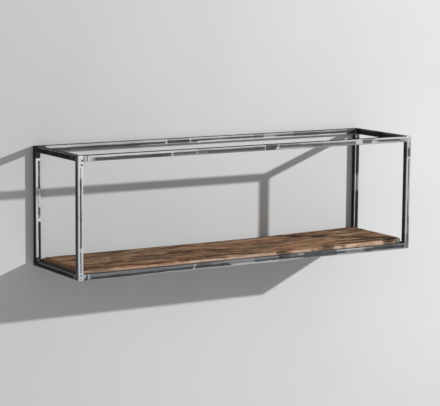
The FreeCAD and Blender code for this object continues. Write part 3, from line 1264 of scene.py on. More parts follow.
class Bench:
    """Turns finished bmeshes into pieces of the shelf."""

    @staticmethod
    def piece(name: str, work: Work, materials: Sequence[Material], slot: str,
              node: str, sharp: float = 35.0) -> None:
        """Makes an object, puts it on its body and lets it stand for a CAD node.

        Args:
            name: name of the piece.
            work: the finished bmesh, which is freed.
            materials: materials by face index.
            slot: not used.
            node: the CAD node that it stands for.
            sharp: angle above which an edge stays sharp, in degrees.
        """
        bmesh.ops.recalc_face_normals(work, faces=work.faces[:])
        for face in work.faces:
            face.smooth = True
        mesh = bpy.data.meshes.new(name)
        work.to_mesh(mesh)
        work.free()
        mesh.set_sharp_from_angle(angle=math.radians(sharp))
        for material in materials:
            mesh.materials.append(material)
        piece = bpy.data.objects.new(name, mesh)
        bpy.context.scene.collection.objects.link(piece)
        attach(piece, BODY)
        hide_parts(node)
        log.info("%s: %d faces, stands for %s", name, len(mesh.polygons), node)

    @staticmethod
    def join(target: Work, part: Work, matrix: Matrix, index: int = 0) -> None:
        """Adds one bmesh to another.

        Args:
            target: the bmesh that grows.
            part: the bmesh to add, which is freed.
            matrix: where it goes.
            index: material index of its faces.
        """
        bmesh.ops.transform(part, matrix=matrix, verts=part.verts[:])
        for face in part.faces:
            face.material_index = index
        mesh = bpy.data.meshes.new("part")
        part.to_mesh(mesh)
        part.free()
        target.from_mesh(mesh)
        bpy.data.meshes.remove(mesh)

    @staticmethod
    def steep(work: Work, rise: float) -> list[bmesh.types.BMEdge]:
        """Lists the edges whose ends differ in height by more than a given rise."""
        return [edge for edge in work.edges if abs(edge.verts[0].co.z - edge.verts[1].co.z) > rise]

    @staticmethod
    def trim(work: Work, point: Vector, outward: Vector) -> None:
        """Cuts away what lies beyond a plane and closes the cut.

        Args:
            work: the bmesh to cut.
            point: a point on the plane.
            outward: direction of the side that goes.
        """
        geometry = work.verts[:] + work.edges[:] + work.faces[:]
        bmesh.ops.bisect_plane(work, geom=geometry, plane_co=point, plane_no=outward, clear_outer=True)
        bmesh.ops.holes_fill(work, edges=[edge for edge in work.edges if edge.is_boundary])


@dataclass(frozen=True)
class Bead:
    """A laid weld bead of quarter-round section along +Z, in the quarter where x and y are below 0.

    Attributes:
        radius: radius, in metres.
        length: length, in metres.
        ripple: distance from one ripple to the next, in metres.
        seed: offset of its unevenness.
        plain: share of the radius that the ripples stand on.
        ripple_height: share of the radius that a ripple adds.
        unevenness: share of the radius that the unevenness adds.
        taper: length of the thinner end, in radii.
        segments: faces round the whole circle.
        overlap: how far it is cut beyond its two flat sides, in metres.
    """

    radius: float
    length: float
    ripple: float = 0.0015
    seed: float = 0.0
    plain: float = 0.90
    ripple_height: float = 0.07
    unevenness: float = 0.06
    taper: float = 0.8
    segments: int = 40
    overlap: float = 0.1 * MM

    def build(self) -> Work:
        """Builds the bead.

        Returns:
            The bead's bmesh.
        """
        work = bmesh.new()
        bmesh.ops.create_cone(work, cap_ends=True, segments=self.segments, radius1=self.radius,
                              radius2=self.radius, depth=self.length,
                              matrix=Matrix.Translation((0, 0, self.length / 2)))
        upright = Bench.steep(work, self.length / 2)
        cuts = max(6, round(self.length / self.ripple * 5))
        bmesh.ops.subdivide_edges(work, edges=upright, cuts=cuts, use_grid_fill=True)
        for vertex in work.verts:
            angle = math.atan2(vertex.co.y, vertex.co.x)
            crescent = 0.35 * self.ripple * math.cos(2.0 * (angle + 0.75 * math.pi))
            phase = (vertex.co.z - crescent) / self.ripple + self.seed
            wave = 0.5 + 0.5 * math.cos(2.0 * math.pi * (phase - math.floor(phase)) ** 0.7)
            uneven = bumpy(self.seed * 7.0, vertex.co.z / (2.2 * self.ripple), angle)
            share = self.plain + self.ripple_height * wave + self.unevenness * uneven
            to_end = (self.length - vertex.co.z) / self.radius
            if to_end < self.taper:
                share *= math.sqrt(max(0.0, 1.0 - (1.0 - to_end / self.taper) ** 2)) * 0.75 + 0.25
            vertex.co.x *= share
            vertex.co.y *= share
        for outward in (Vector((1, 0, 0)), Vector((0, 1, 0))):
            Bench.trim(work, outward * self.overlap, outward)
        return work


# Sub-assemblies


def bare(start: float, slant: float = 0.0) -> Stretch:
    """Makes a stretch that is ground bright all over."""
    return Stretch(start, 7.5, 0.90, 1.0, 1.0, 0.0, slant)


def black(start: float, slant: float = 0.0) -> Stretch:
    """Makes a stretch that was not ground at all."""
    return Stretch(start, 1.2, 0.0, 0.10, 0.05, 0.0, slant)


def usual_grinding() -> dict[str, Grinding]:
    """Lists how each tube was ground, read off the photograph where it shows.

    Returns:
        The grinding by the tube's node name.
    """
    return {
        "rail_top_front": Grinding((
            Stretch(-485, 3.0, 0.3, 0.6, 0.35), bare(-480), black(-475.8), bare(-473),
            Stretch(-460, 4.0, 0.01, 0.95, 0.12, -1.7, soft=10.0), Stretch(-242, 6.6, 0.22, 0.95, 0.5),
            Stretch(-235, 4.2, 0.06, 0.9, 0.25, -1.2), Stretch(-170, 6.6, 0.16, 0.75, 0.45),
            Stretch(-165, 3.8, 0.01, 0.6, 0.22, -0.7), Stretch(32, 6.6, 0.22, 0.65, 0.35),
            Stretch(36, 2.0, 0.0, 0.3, 0.1), Stretch(69, 7.0, 0.36, 0.3, 0.75, slant=0.55),
            Stretch(77, 3.9, 0.03, 0.22, 0.6, -0.2, 0.4), Stretch(140, 3.9, 0.03, 0.42, 0.6, -0.6),
            Stretch(213, 4.0, 0.01, 0.55, 0.45, -0.5), Stretch(265, 3.9, 0.01, 0.55, 0.35, -0.9),
            Stretch(318, 7.0, 0.45, 0.62, 0.7), Stretch(339, 3.4, 0.03, 0.2, 0.6, -0.6),
            Stretch(371, 7.0, 0.5, 0.45, 0.8, slant=0.7), Stretch(379, 5.0, 0.25, 0.5, 0.65),
            Stretch(390, 4.2, 0.02, 0.6, 0.7, -0.6), Stretch(462, 4.6, 0.16, 0.48, 0.34, -1.8),
            Stretch(477, 6.0, 0.4, 0.48, 0.36)),
            combs=(Comb(-163, -135, 3.3, 0.25), Comb(213, 318, 4.0, 0.16)),
            marks=(Mark(-484.5, 292.0, 2.2),),
            flank=0.3, crest=0.45),
        "rail_bottom_front": Grinding((
            Stretch(-485, 5.0, 0.5, 0.65, 0.5), black(-479.0, 0.3),
            Stretch(-473.5, 6.0, 0.75, 0.5, 0.45, soft=1.5),
            Stretch(-468, 4.7, 0.0, 0.2, 0.06, -3.0, soft=3.0, line=0.3),
            Stretch(-330, 4.7, 0.0, 0.18, 0.15, -2.6, soft=9.0, line=0.6),
            Stretch(-260, 4.7, 0.01, 0.17, 0.42, -1.8, soft=9.0, line=0.8),
            Stretch(-177, 6.0, 0.2, 0.42, 0.45, slant=0.4, soft=2.0, line=0.8),
            Stretch(-170, 4.4, 0.01, 0.09, 0.34, -1.2, 0.5, line=0.8),
            Stretch(-120, 4.6, 0.01, 0.18, 0.38, -1.4, soft=6.0, line=1.0),
            Stretch(-72, 6.0, 0.2, 0.26, 0.6, slant=-2.4, line=1.0),
            Stretch(5, 4.9, 0.06, 0.18, 0.75, -0.6, line=1.0), Stretch(80, 4.4, 0.0, 0.0, 0.5, line=0.8),
            Stretch(113, 4.8, 0.04, 0.1, 0.55, soft=5.0, line=0.8),
            Stretch(140, 5.0, 0.03, 0.36, 0.4, soft=3.0, line=0.6),
            Stretch(157, 3.6, 0.0, 0.0, 0.14, soft=2.0, line=0.7),
            Stretch(210, 3.6, 0.0, 0.0, 0.2, line=1.0),
            Stretch(262, 4.8, 0.03, 0.32, 0.6, -0.6, soft=2.0, line=1.0),
            Stretch(290, 5.0, 0.2, 0.36, 0.42, -0.3, soft=4.0, line=0.6),
            Stretch(350, 4.2, 0.0, 0.16, 0.26, -0.8, soft=8.0, line=0.35),
            Stretch(377, 4.0, 0.0, 0.03, 0.34, 0.3, 0.6, line=0.3),
            Stretch(462, 4.0, 0.0, 0.14, 0.34, line=0.4), Stretch(473, 3.0, 0.0, 0.08, 0.25, line=0.6)),
            combs=(Comb(157, 260, 3.6, 0.08),),
            marks=(Mark(-482.6, 2.4, 2.2), Mark(-477.0, 6.6, 2.2), Mark(-475.6, 10.2, 2.0),
                   Mark(480.0, 6.0, 2.6)),
            soot=0.35, flank=0.35),
        "rail_top_back": Grinding((
            black(-485), Stretch(-470, 4.2, 0.02, 0.8, 0.06, -2.6, soft=3.0),
            Stretch(-400, 4.2, 0.01, 0.62, 0.15, -2.0),
            Stretch(-200, 4.4, 0.01, 0.7, 0.48, -1.2, soft=6.0), Stretch(-125, 6.6, 0.16, 0.75, 0.7),
            Stretch(-119, 3.8, 0.0, 0.48, 0.42, -0.4), Stretch(-52, 6.6, 0.14, 0.75, 0.6),
            Stretch(-47, 4.2, 0.02, 0.66, 0.75, -0.6), Stretch(-27, 5.2, 0.02, 0.55, 1.0, 0.4),
            Stretch(147, 5.0, 0.02, 0.28, 0.75, 0.4), Stretch(180, 6.0, 0.2, 0.42, 1.0, 0.3),
            Stretch(220, 4.8, 0.01, 0.38, 0.8, 0.2, soft=8.0), Stretch(277, 4.2, 0.0, 0.2, 0.7, soft=3.0),
            Stretch(360, 4.4, 0.0, 0.24, 0.8, soft=9.0), black(455)),
            soot=0.3, flank=0.4, crest=0.7),
        "rail_bottom_back": Grinding((
            Stretch(-485, 2.0, 0.05, 0.3, 0.2), Stretch(-460), Stretch(-310, 7.0, 0.6, slant=0.5),
            Stretch(-300, 3.8, 0.02, 0.4, 0.6), Stretch(-40, 5.0, 0.2, 0.5, 0.5), Stretch(25, 3.2),
            Stretch(240, 7.0, 0.6, slant=-0.6), black(248), Stretch(290, 3.6), Stretch(462, 5.0, 0.3))),
        "post_front_left": Grinding((
            bare(3), Stretch(19, 5.6, 0.08, 1.0, 0.9, -0.1), Stretch(70, 6.4, 0.45, 1.0, 1.0, soft=2.0),
            Stretch(79, 5.1, 0.01, 1.0, 0.85, -0.4, soft=3.0),
            Stretch(250, 6.0, 0.35, 1.0, 0.95, 0.2, soft=4.0), bare(276)),
            marks=(Mark(-487.4, 292.8, 4.0), Mark(-486.0, 294.0, 3.0), Mark(-490.2, 282.8, 2.4),
                   Mark(-487.6, 281.9, 2.6), Mark(-491.4, 14.2, 2.3), Mark(-491.2, 11.6, 1.6),
                   Mark(-493.6, 5.0, 1.4)),
            rough=(0.44, 0.41), flank=0.38),
        "post_front_right": Grinding((
            Stretch(3, 4.0, 0.15, 0.35, 0.3), Stretch(20, 5.4, 0.05, 0.5, 0.2, -1.2),
            Stretch(40, 6.0, 0.02, 0.72, 0.3, -1.0), Stretch(90, 6.2, 0.02, 0.75, 0.65, -0.6, soft=5.0),
            Stretch(244, 7.0, 0.5), Stretch(250, 5.0, 0.08, 0.42, 0.3),
            Stretch(275, 7.0, 0.55, 0.5, 0.4, soft=2.0), Stretch(289, 7.0, 0.75, 0.6, 0.5)),
            marks=(Mark(491.5, 264.0, 3.0),), rough=(0.34, 0.26), soot=0.9, flank=0.22),
        "post_back_left": Grinding((
            Stretch(3, 1.0, 0.0, 0.1, 0.1), Stretch(22, 4.7, 0.0, 1.0, 0.05, -2.6), bare(115, 0.5),
            Stretch(121, 5.0, 0.35, 1.0, 0.8, -1.6), Stretch(130, 4.8, 0.08, 1.0, 0.5, -1.8),
            Stretch(150, 5.4, 0.5, 1.0, 1.0), bare(193), Stretch(198, 4.9, 0.0, 1.0, 0.6, -2.4),
            bare(268), black(274)),
            rough=(0.45, 0.45), soot=0.7, flank=0.22, crest=0.3),
        "post_back_right": Grinding((
            Stretch(3, 2.0, 0.0, 0.1, 0.1), Stretch(22, 3.4, 0.0, 0.62, 0.02, soft=3.0),
            Stretch(130, 4.4, 0.12, 0.7, 0.35, soft=6.0), Stretch(176, 3.4, 0.0, 0.58, 0.1, soft=6.0),
            Stretch(268, 2.0, 0.0, 0.1, 0.02), Stretch(279, 4.2, 0.12, 0.45, 0.1), black(290)),
            rough=(0.33, 0.33), soot=0.95, flank=0.3),
        "end_rail_top_left": Grinding((
            Stretch(-110, 2.6, 0.02, 0.8, 0.05), Stretch(-100, 4.0, 0.1, 0.45, 0.08, slant=0.4),
            Stretch(-84, 2.4, 0.0, 0.9, 0.04, slant=0.4), Stretch(20, 3.4, 0.06, 0.9, 0.1),
            Stretch(31, 2.4, 0.0, 0.8, 0.04), black(92)),
            soot=0.6),
        "end_rail_top_right": Grinding((
            Stretch(-110, 4.0, 0.2), Stretch(-96, 2.8, 0.01, 0.5, 0.15), black(-20, 0.6),
            Stretch(22, 3.0, 0.01, 0.3, 0.2), black(84)),
            soot=0.6),
        "end_rail_bottom_left": Grinding((
            Stretch(-110, 6.5, 0.5, 1.0, 0.6), Stretch(-101, 4.6, 0.02, 1.0, 0.1),
            Stretch(-70, 4.4, 0.0, 0.85, 0.05), Stretch(20, 4.4, 0.0, 0.6, 0.05), black(96)),
            soot=0.6, flank=0.25, crest=0.2),
        "end_rail_bottom_right": Grinding((
            Stretch(-110, 2.0, 0.05, 0.3, 0.2), Stretch(-92, 3.4, 0.02, 0.5, 0.4),
            Stretch(10, 5.0, 0.25, 0.5, 0.4), Stretch(52, 3.2, 0.02, 0.5, 0.4),
            Stretch(98, 2.0, 0.05, 0.2, 0.2))),
    }


@dataclass
class TubeFrame:
    """Posts, long rails and end rails. Their CAD shapes stay, and each gets its own finish.

    Attributes:
        nodes: CAD objects by name.
        grinding: how each tube was ground, by node name.
    """

    nodes: Nodes
    grinding: dict[str, Grinding] = field(default_factory=usual_grinding)

    def finish(self) -> None:
        """Gives each tube its material, with patterns of its own."""
        for number, (name, grinding) in enumerate(self.grinding.items()):
            low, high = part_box(name)
            size = high - low
            run = tuple(Run)[max(range(3), key=lambda axis: size[axis])]
            steel = TubeSteel(run, (low + high) / 2, max(size), grinding, 0.37 + 0.61 * number)
            self.nodes[name].data.materials[0] = steel.material("steel_" + name)
            log.info("%s: CAD tube with %d stretches", name, len(grinding.stretches))


@dataclass
class EndCaps:
    """The plates that close the posts. Their CAD shapes stay.

    Attributes:
        nodes: CAD objects by name.
        brightness: how clean each corner was ground.
    """

    nodes: Nodes
    brightness: dict[str, float] = field(default_factory=lambda: {
        "top_front_left": 1.0, "top_front_right": 0.75, "top_back_left": 0.15, "top_back_right": 0.2,
        "bottom_front_left": 0.95, "bottom_front_right": 0.75, "bottom_back_left": 0.2,
        "bottom_back_right": 0.5})

    def finish(self) -> None:
        """Gives each cap its material."""
        for number, (corner, clean) in enumerate(self.brightness.items()):
            rough = CORNER_ROUGH[corner.rpartition("_")[2]]
            steel = GroundSteel(clean, rough, 0.23 * (number + 1))
            self.nodes["cap_" + corner].data.materials[0] = steel.material("ground_" + corner)
            log.info("cap_%s: CAD plate", corner)


@dataclass
class CornerWelds:
    """Weld metal of the eight corners, with rippled beads inside and ground fills outside.

    Attributes:
        tube: side of the tube, in metres.
        corner: radius of the tube's arris, in metres.
        bead: radius of the beads, in metres.
        cap: thickness of the caps, in metres.
        dish: how far grinding dished the fills, in metres.
        cuts_along: cuts along a fill.
        cuts_round: cuts across each of its faces.
        fill_grain: lengths of its unevenness, up it and round it, in metres.
        ball: radius of the ball where the beads meet, as a share of theirs.
        ball_uneven: share of that radius which its unevenness adds.
        ball_grain: length of that unevenness, in metres.
        bright_top: how clean the fills of the top corners were ground.
        bright_bottom: how clean those of the bottom corners were ground.
    """

    tube: float = 15.0 * MM
    corner: float = 2.0 * MM
    bead: float = 2.5 * MM
    cap: float = 3.0 * MM
    dish: float = 0.16 * MM
    cuts_along: int = 23
    cuts_round: int = 3
    fill_grain: tuple[float, float] = (1.4 * MM, 1.2 * MM)
    ball: float = 0.98
    ball_uneven: float = 0.05
    ball_grain: float = 0.9 * MM
    bright_top: float = 0.9
    bright_bottom: float = 0.75

    def fill(self, low: Vector, seed: float) -> Work:
        """Builds one fill of the seam between a post and a rail.

        Args:
            low: its lowest corner, with the axes pointing out of the frame.
            seed: offset of its unevenness.

        Returns:
            The fill's bmesh.
        """
        size = Vector((self.corner, self.corner, self.tube - self.cap))
        work = bmesh.new()
        bmesh.ops.create_cube(work, size=1.0)
        upright = Bench.steep(work, 0.5)
        bmesh.ops.subdivide_edges(work, edges=upright, cuts=self.cuts_along, use_grid_fill=True)
        steep = set(Bench.steep(work, 0.01))
        sideways = [edge for edge in work.edges if edge not in steep]
        bmesh.ops.subdivide_edges(work, edges=sideways, cuts=self.cuts_round, use_grid_fill=True)
        for vertex in work.verts:
            outside = [vertex.co[axis] > 0.49 for axis in (0, 1)]
            for axis in (0, 1):
                vertex.co[axis] = low[axis] + (vertex.co[axis] + 0.5) * size[axis]
            vertex.co.z = low.z + (vertex.co.z + 0.5) * size.z
            around = (vertex.co.x + vertex.co.y) / self.fill_grain[1]
            uneven = bumpy(seed, vertex.co.z / self.fill_grain[0], around)
            for axis in (0, 1):
                if outside[axis] and vertex.co[axis] > self.tube - self.corner:
                    vertex.co[axis] -= self.dish * (0.5 + 0.5 * uneven)
        return work

    def build(self, bead_steel: Material) -> None:
        """Builds all eight corners, each with its own ground finish.

        Args:
            bead_steel: finish of the beads.
        """
        for number, (level, row, side) in enumerate(itertools.product(Level, Row, Side)):
            name = "_".join(part.name.lower() for part in (level, row, side))
            bright = self.bright_top if level is Level.TOP else self.bright_bottom
            ground = GroundSteel(bright, CORNER_ROUGH[side.name.lower()], 3.0 + number)
            materials = (bead_steel, ground.material("ground_seam_%d" % number))
            self.build_corner(name, Vector((side.value, row.value, level.value)), number, materials)

    def build_corner(self, name: str, outward: Vector, number: int,
                     materials: Sequence[Material]) -> None:
        """Builds the weld metal of one corner.

        Args:
            name: level, row and side, as in the CAD names.
            outward: signs of the directions out of the frame.
            number: number of the corner.
            materials: finish of the beads and of the fills.
        """
        run = self.tube - self.corner
        work = bmesh.new()
        turns = (Matrix.Identity(4), Matrix(((0, 0, 1, 0), (1, 0, 0, 0), (0, 1, 0, 0), (0, 0, 0, 1))),
                 Matrix(((0, 1, 0, 0), (0, 0, 1, 0), (1, 0, 0, 0), (0, 0, 0, 1))))
        for index, turn in enumerate(turns):
            Bench.join(work, Bead(self.bead, run, seed=number * 1.3 + index * 0.37).build(), turn)
        ball = bmesh.new()
        bmesh.ops.create_icosphere(ball, subdivisions=4, radius=self.bead * self.ball)
        for vertex in ball.verts:
            uneven = noise.noise(vertex.co / self.ball_grain + Vector((number, 0, 0)))
            vertex.co *= 1.0 + self.ball_uneven * uneven
        for axis in range(3):
            outward_axis = Vector([1.0 if place == axis else 0.0 for place in range(3)])
            Bench.trim(ball, outward_axis * Bead.overlap, outward_axis)
        Bench.join(work, ball, Matrix.Identity(4))
        for index, low in enumerate(((0, 0, 0), (0, run, 0), (run, 0, 0))):
            Bench.join(work, self.fill(Vector(low), number * 2.1 + index), Matrix.Identity(4), 1)
        low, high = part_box("weld_" + name)
        inner = Vector([(high if sign < 0 else low)[axis] + sign * self.bead
                        for axis, sign in enumerate(outward)])
        scale = Matrix.Diagonal((*outward, 1.0))
        bmesh.ops.transform(work, matrix=Matrix.Translation(inner) @ scale, verts=work.verts[:])
        Bench.piece("corner_weld_" + name, work, materials, "weld_metal", "weld_" + name)


@dataclass
class TabWelds:
    """Tack welds of the six tabs under the board, and the finish of the tabs themselves.

    Attributes:
        nodes: CAD objects by name.
        radius: radius of a tack, in metres.
        thickness: thickness of a tab, in metres.
        ripple: distance from one ripple of a tack to the next, in metres.
    """

    nodes: Nodes
    radius: float = 2.5 * MM
    thickness: float = 3.0 * MM
    ripple: float = 1.1 * MM

    def build(self, tack_steel: Material, tab_steel: Material) -> None:
        """Builds the tacks and dresses the tabs.

        Args:
            tack_steel: finish of the tacks.
            tab_steel: finish of the tabs.
        """
        for number, (row, spot) in enumerate(itertools.product(Row, Spot)):
            name = "%s_%s" % (row.name.lower(), spot.name.lower())
            self.nodes["tab_" + name].data.materials[0] = tab_steel
            log.info("tab_%s: CAD bar", name)
            low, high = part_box("tab_weld_" + name)
            rail = high.y if row is Row.BACK else low.y
            work = bmesh.new()
            for side in Side:
                edge = (low.x + self.radius) if side is Side.LEFT else (high.x - self.radius)
                tack = Bead(self.radius, self.thickness, self.ripple, number * 0.7 + side.value).build()
                turn = Matrix.Diagonal((-side.value, row.value, 1.0, 1.0))
                Bench.join(work, tack, Matrix.Translation((edge, rail, low.z)) @ turn)
            Bench.piece("tack_weld_" + name, work, (tack_steel,), "weld_metal", "tab_weld_" + name)


@dataclass
class BoardScrews:
    """The screws that hold the board to its tabs. Their CAD shapes stay.

    Attributes:
        nodes: CAD objects by name.
    """

    nodes: Nodes

    def finish(self) -> None:
        """Gives the screws their zinc."""
        self.nodes["board_screws"].data.materials[0] = ZincPlate().material("zinc_plate")
        log.info("board_screws: CAD screws")


@dataclass(frozen=True)
class Check:
    """A drying crack in the plank, or a dark groove that paints a cast shadow, in mm.

    Attributes:
        start: where it starts along X.
        end: where it ends.
        across: its place across the plank.
        width: its half width.
        depth: its depth.
        slant: how far it moves across for each mm along.
    """

    start: float
    end: float
    across: float
    width: float
    depth: float
    slant: float = 0.0


@dataclass(frozen=True)
class Blemish:
    """A knot, stain or broken-out place in the plank, in mm.

    Attributes:
        x: place along X.
        y: place across.
        long: half length.
        wide: half width.
        depth: depth of the hollow.
        dark: how dark it is, from 0 to 1.
    """

    x: float
    y: float
    long: float
    wide: float
    depth: float = 0.4
    dark: float = 0.8


@dataclass(frozen=True)
class WornEdge:
    """A stretch of the front arris that is worn more than the rest, in mm.

    Attributes:
        start: where it starts along X.
        end: where it ends.
        width: how far it reaches across the top.
        drop: how much lower the arris is there.
        tan: how much fresh wood it shows, from 0 to 1; above 1 it is paler still, which is painted light.
    """

    start: float
    end: float
    width: float
    drop: float
    tan: float = 1.0


@dataclass
class Plank:
    """The old hardwood board, which stands for the CAD board.

    Attributes:
        columns: cells along the board.
        rows: cells across it.
        layers: cuts through its thickness.
        corner: radius of its upright corners, in mm.
        end_rise: how much higher the top is at the right end, in mm.
        rise_length: length of that rise, in mm.
        front_fall: how far the top falls towards the front arris, in mm.
        front_reach: how far back that fall reaches, in mm.
        front_keep: share of the rise that the front arris doesn't take part in.
        full_corner: length at the right end where it takes part after all, in mm.
        dirt_strip: width of the darker strip behind the worn front arris, in mm.
        whole_corner: how far the right end is whole from the front, in mm.
        whole_edge: width and drop of its arris there, in mm.
        round_width: least width of the rounding of the left end, in mm.
        round_drop: least drop of that rounding, in mm.
        edge_tan: how tan the back, left and right edges are, from 0 to 1.
        least_tan: how tan the front arris is where it is worn least, from 0 to 1.
        wear_fade: length over which a worn stretch of the front arris ends, in mm.
        crack_fade: length over which a crack ends, in mm.
        step: how far a slanting crack runs along the grain in its steps, in mm.
        step_run: length of a step, divided by a full turn, in mm.
        sharp: angle above which an edge stays sharp, in degrees.
        checks: drying cracks, and one dark groove along the front right post's cast shadow, whose darkening
            is painted shadow.
        blemishes: knots, stains and broken-out places.
        worn: worn stretches of the front arris.
    """

    columns: int = 396
    rows: int = 84
    layers: int = 5
    corner: float = 3.0
    end_rise: float = 6.0
    rise_length: float = 380.0
    front_fall: float = 1.7
    front_reach: float = 18.0
    front_keep: float = 0.34
    full_corner: float = 45.0
    dirt_strip: float = 8.0
    whole_corner: float = 60.0
    whole_edge: tuple[float, float] = (1.0, 0.3)
    round_width: float = 9.0
    round_drop: float = 5.2
    edge_tan: Triple = (0.62, 0.40, 0.45)
    least_tan: float = 0.30
    wear_fade: float = 12.0
    crack_fade: float = 30.0
    step: float = 7.5
    step_run: float = 8.0
    sharp: float = 50.0
    checks: tuple[Check, ...] = (
        Check(-484, -300, 52, 1.1, 2.6), Check(-335, -125, -40, 0.9, 1.8), Check(-215, 55, 74, 1.0, 2.2),
        Check(-65, 185, 2, 0.9, 1.7), Check(138, 315, 38, 1.3, 2.8), Check(200, 330, -50, 1.0, 2.0),
        # The first check on the next line, from 290 to 500 slanting by -0.8, lies along the front right
        # post's cast shadow: its dark colour is painted shadow
        Check(290, 500, 52, 3.2, 2.6, -0.8), Check(190, 262, 52, 3.4, 2.4, -1.6),
        Check(206, 276, 34, 2.8, 2.4, -1.7), Check(-484, -390, -74, 1.0, 2.2),
        Check(30, 250, -91, 0.9, 1.6), Check(-185, 15, -97, 0.8, 1.4),
        Check(400, 490, 20, 1.4, 1.8, -0.3))
    blemishes: tuple[Blemish, ...] = (
        Blemish(-315, 20, 22, 4), Blemish(-378, -57, 26, 4), Blemish(-268, -98, 16, 4, 0.8),
        Blemish(-229, 43, 26, 5, 0.3, 0.5), Blemish(-98, 20, 12, 7, 0.5, 0.4), Blemish(-46, 4, 24, 5),
        Blemish(308, 33, 16, 9, 0.8, 0.6), Blemish(258, 67, 30, 6, 0.8, 0.9), Blemish(11, -55, 28, 5),
        Blemish(27, -98, 34, 5, 0.4, 0.6), Blemish(322, -94, 34, 6, 0.5, 0.6),
        Blemish(400, -72, 46, 17, 0.2, 0.38), Blemish(104, -106, 16, 13, 1.2, 0.72),
        Blemish(243, -104, 15, 14, 1.0, 0.62), Blemish(446, -106, 17, 12, 0.6, 0.9),
        Blemish(458, -72, 30, 15, 0.2, 0.42), Blemish(-440, 30, 26, 4),
        Blemish(-449, -106, 30, 9, 0.2, 0.46), Blemish(-166, 2, 14, 3, 0.4, 0.7),
        Blemish(-122, 8, 16, 3, 0.4, 0.7))
    worn: tuple[WornEdge, ...] = (
        WornEdge(-478, -365, 1.5, 0.6, 0.38), WornEdge(-395, -165, 2.0, 0.8, 0.58),
        WornEdge(-185, -75, 3.0, 1.2, 0.85), WornEdge(-95, 5, 2.0, 1.0, 0.7),
        WornEdge(-15, 88, 3.5, 1.4, 0.95), WornEdge(124, 200, 3.5, 2.0, 0.72),
        WornEdge(190, 222, 2.5, 1.4, 0.52), WornEdge(258, 300, 3, 1.2, 0.66),
        WornEdge(294, 344, 4, 2.6, 0.95), WornEdge(338, 386, 4, 1.8, 0.56),
        # The last stretch, from 460 to 508, has tan above 1: its cream wear is real, and its extra paleness
        # is painted light that lifts the corner in the front right post's shadow
        WornEdge(380, 431, 5, 0.8, 1.0), WornEdge(460, 508, 9, 0.4, 1.5))

    def front_wear(self, x: float) -> tuple[float, float, float]:
        """Says how the front arris is worn at one place.

        Args:
            x: place along the board, in mm.

        Returns:
            Width and drop of the worn band in mm, and how tan it is.
        """
        width = 1.8 + 1.2 * bumpy(x / 34.0, 3.0, 0.0)
        drop = 1.0 + 0.7 * bumpy(x / 22.0, 9.0, 0.0)
        tan = self.least_tan
        for place in self.worn:
            inside = min(x - place.start, place.end - x, self.wear_fade) / self.wear_fade
            if inside > 0.0:
                broad = bumpy(x / 17.0, place.start, 0.0)
                fine = bumpy(x / 6.0, place.end, 0.0)
                uneven = 0.75 + 0.5 * broad + 0.3 * fine
                width = max(width, place.width * inside * uneven)
                drop = max(drop, place.drop * inside * uneven)
                tan = max(tan, place.tan * inside)
        return max(width, 0.8), max(drop, 0.2), tan

    def chip(self, along: float, edge: RoughEdge, front: float) -> tuple[float, float]:
        """Says how a rough edge is chipped at one place.

        Args:
            along: distance along the edge, in mm.
            edge: the edge.
            front: distance from the plank's front edge.

        Returns:
            Width and drop of the chip, in mm.
        """
        if edge is RoughEdge.RIGHT and front < self.whole_corner:
            return self.whole_edge
        broad = bumpy(along / 46.0, edge.value, 1.0)
        fine = bumpy(along / 9.0, edge.value, 5.0)
        bite = max(0.0, broad + 0.45 * fine - 0.05)
        return 1.6 + 9.0 * bite, 0.5 + 4.6 * bite

    def hollow(self, x: float, y: float) -> tuple[float, float]:
        """Adds up the grain, cracks and blemishes of the top at one place.

        Args:
            x: place along the board, in mm.
            y: place across it.

        Returns:
            Depth in mm, and how dark it is from 0 to 1, by dirt and by painted shadow.
        """
        sway = 6.0 * bumpy(x / 170.0, y / 60.0, 2.0)
        ridges = bumpy(x / 130.0, (y + sway) / 3.4, 7.0)
        waves = bumpy(x / 210.0, y / 38.0, 4.0)
        hewn = bumpy(x / 48.0, y / 15.0, 11.0)
        depth = 0.85 + 0.22 * ridges + 0.25 * waves + 0.75 * hewn
        dirt = 0.0
        for check in self.checks:
            inside = min(x - check.start, check.end - x, self.crack_fade) / self.crack_fade
            if inside > 0.0:
                stepped = x - check.start + self.step * math.sin((x - check.start) / self.step_run)
                broad = bumpy(x / 75.0, check.across, 0.0)
                fine = bumpy(x / 15.0, check.start, 0.0)
                line = check.across + check.slant * stepped + 4.0 * broad + 1.2 * fine
                share = math.exp(-((y - line) / (check.width * (0.6 + 0.6 * inside))) ** 2) * inside
                share *= 0.8 + 0.4 * bumpy(x / 13.0, y / 6.0, check.start)
                depth += check.depth * share
                dirt = max(dirt, share)
        for mark in self.blemishes:
            reach = math.hypot((x - mark.x) / mark.long, (y - mark.y) / mark.wide)
            if reach < 2.2:
                ragged = reach + 0.45 * bumpy(x / 12.0, y / 2.6, mark.x)
                share = max(0.0, min(1.0, 1.45 - ragged))
                depth += mark.depth * share
                dirt = max(dirt, mark.dark * share)
        return depth, dirt

    def blank(self, half_long: float, half_wide: float, thick: float) -> Work:
        """Builds the closed block whose points are then carved.

        Args:
            half_long: half the length, in mm.
            half_wide: half the width.
            thick: the thickness.

        Returns:
            The block, with its top at 0 and finer cells along its edges.
        """
        work = bmesh.new()
        bmesh.ops.create_grid(work, x_segments=self.columns, y_segments=self.rows, size=1.0)
        for vertex in work.verts:
            x, y = vertex.co.x, vertex.co.y
            vertex.co.x = half_long * (0.96 * x + 0.04 * math.sin(math.pi * x / 2))
            vertex.co.y = half_wide * (0.72 * y + 0.28 * math.sin(math.pi * y / 2))
        grown = bmesh.ops.extrude_face_region(work, geom=work.faces[:])
        lower = [item for item in grown["geom"] if isinstance(item, bmesh.types.BMVert)]
        bmesh.ops.translate(work, vec=(0, 0, -thick), verts=lower)
        upright = Bench.steep(work, thick / 2)
        bmesh.ops.subdivide_edges(work, edges=upright, cuts=self.layers, use_grid_fill=True)
        return work

    def low_share(self, right: float) -> float:
        """Says what share of the end's rise the top lacks at a distance from the right end."""
        return min(1.0, right / self.rise_length)

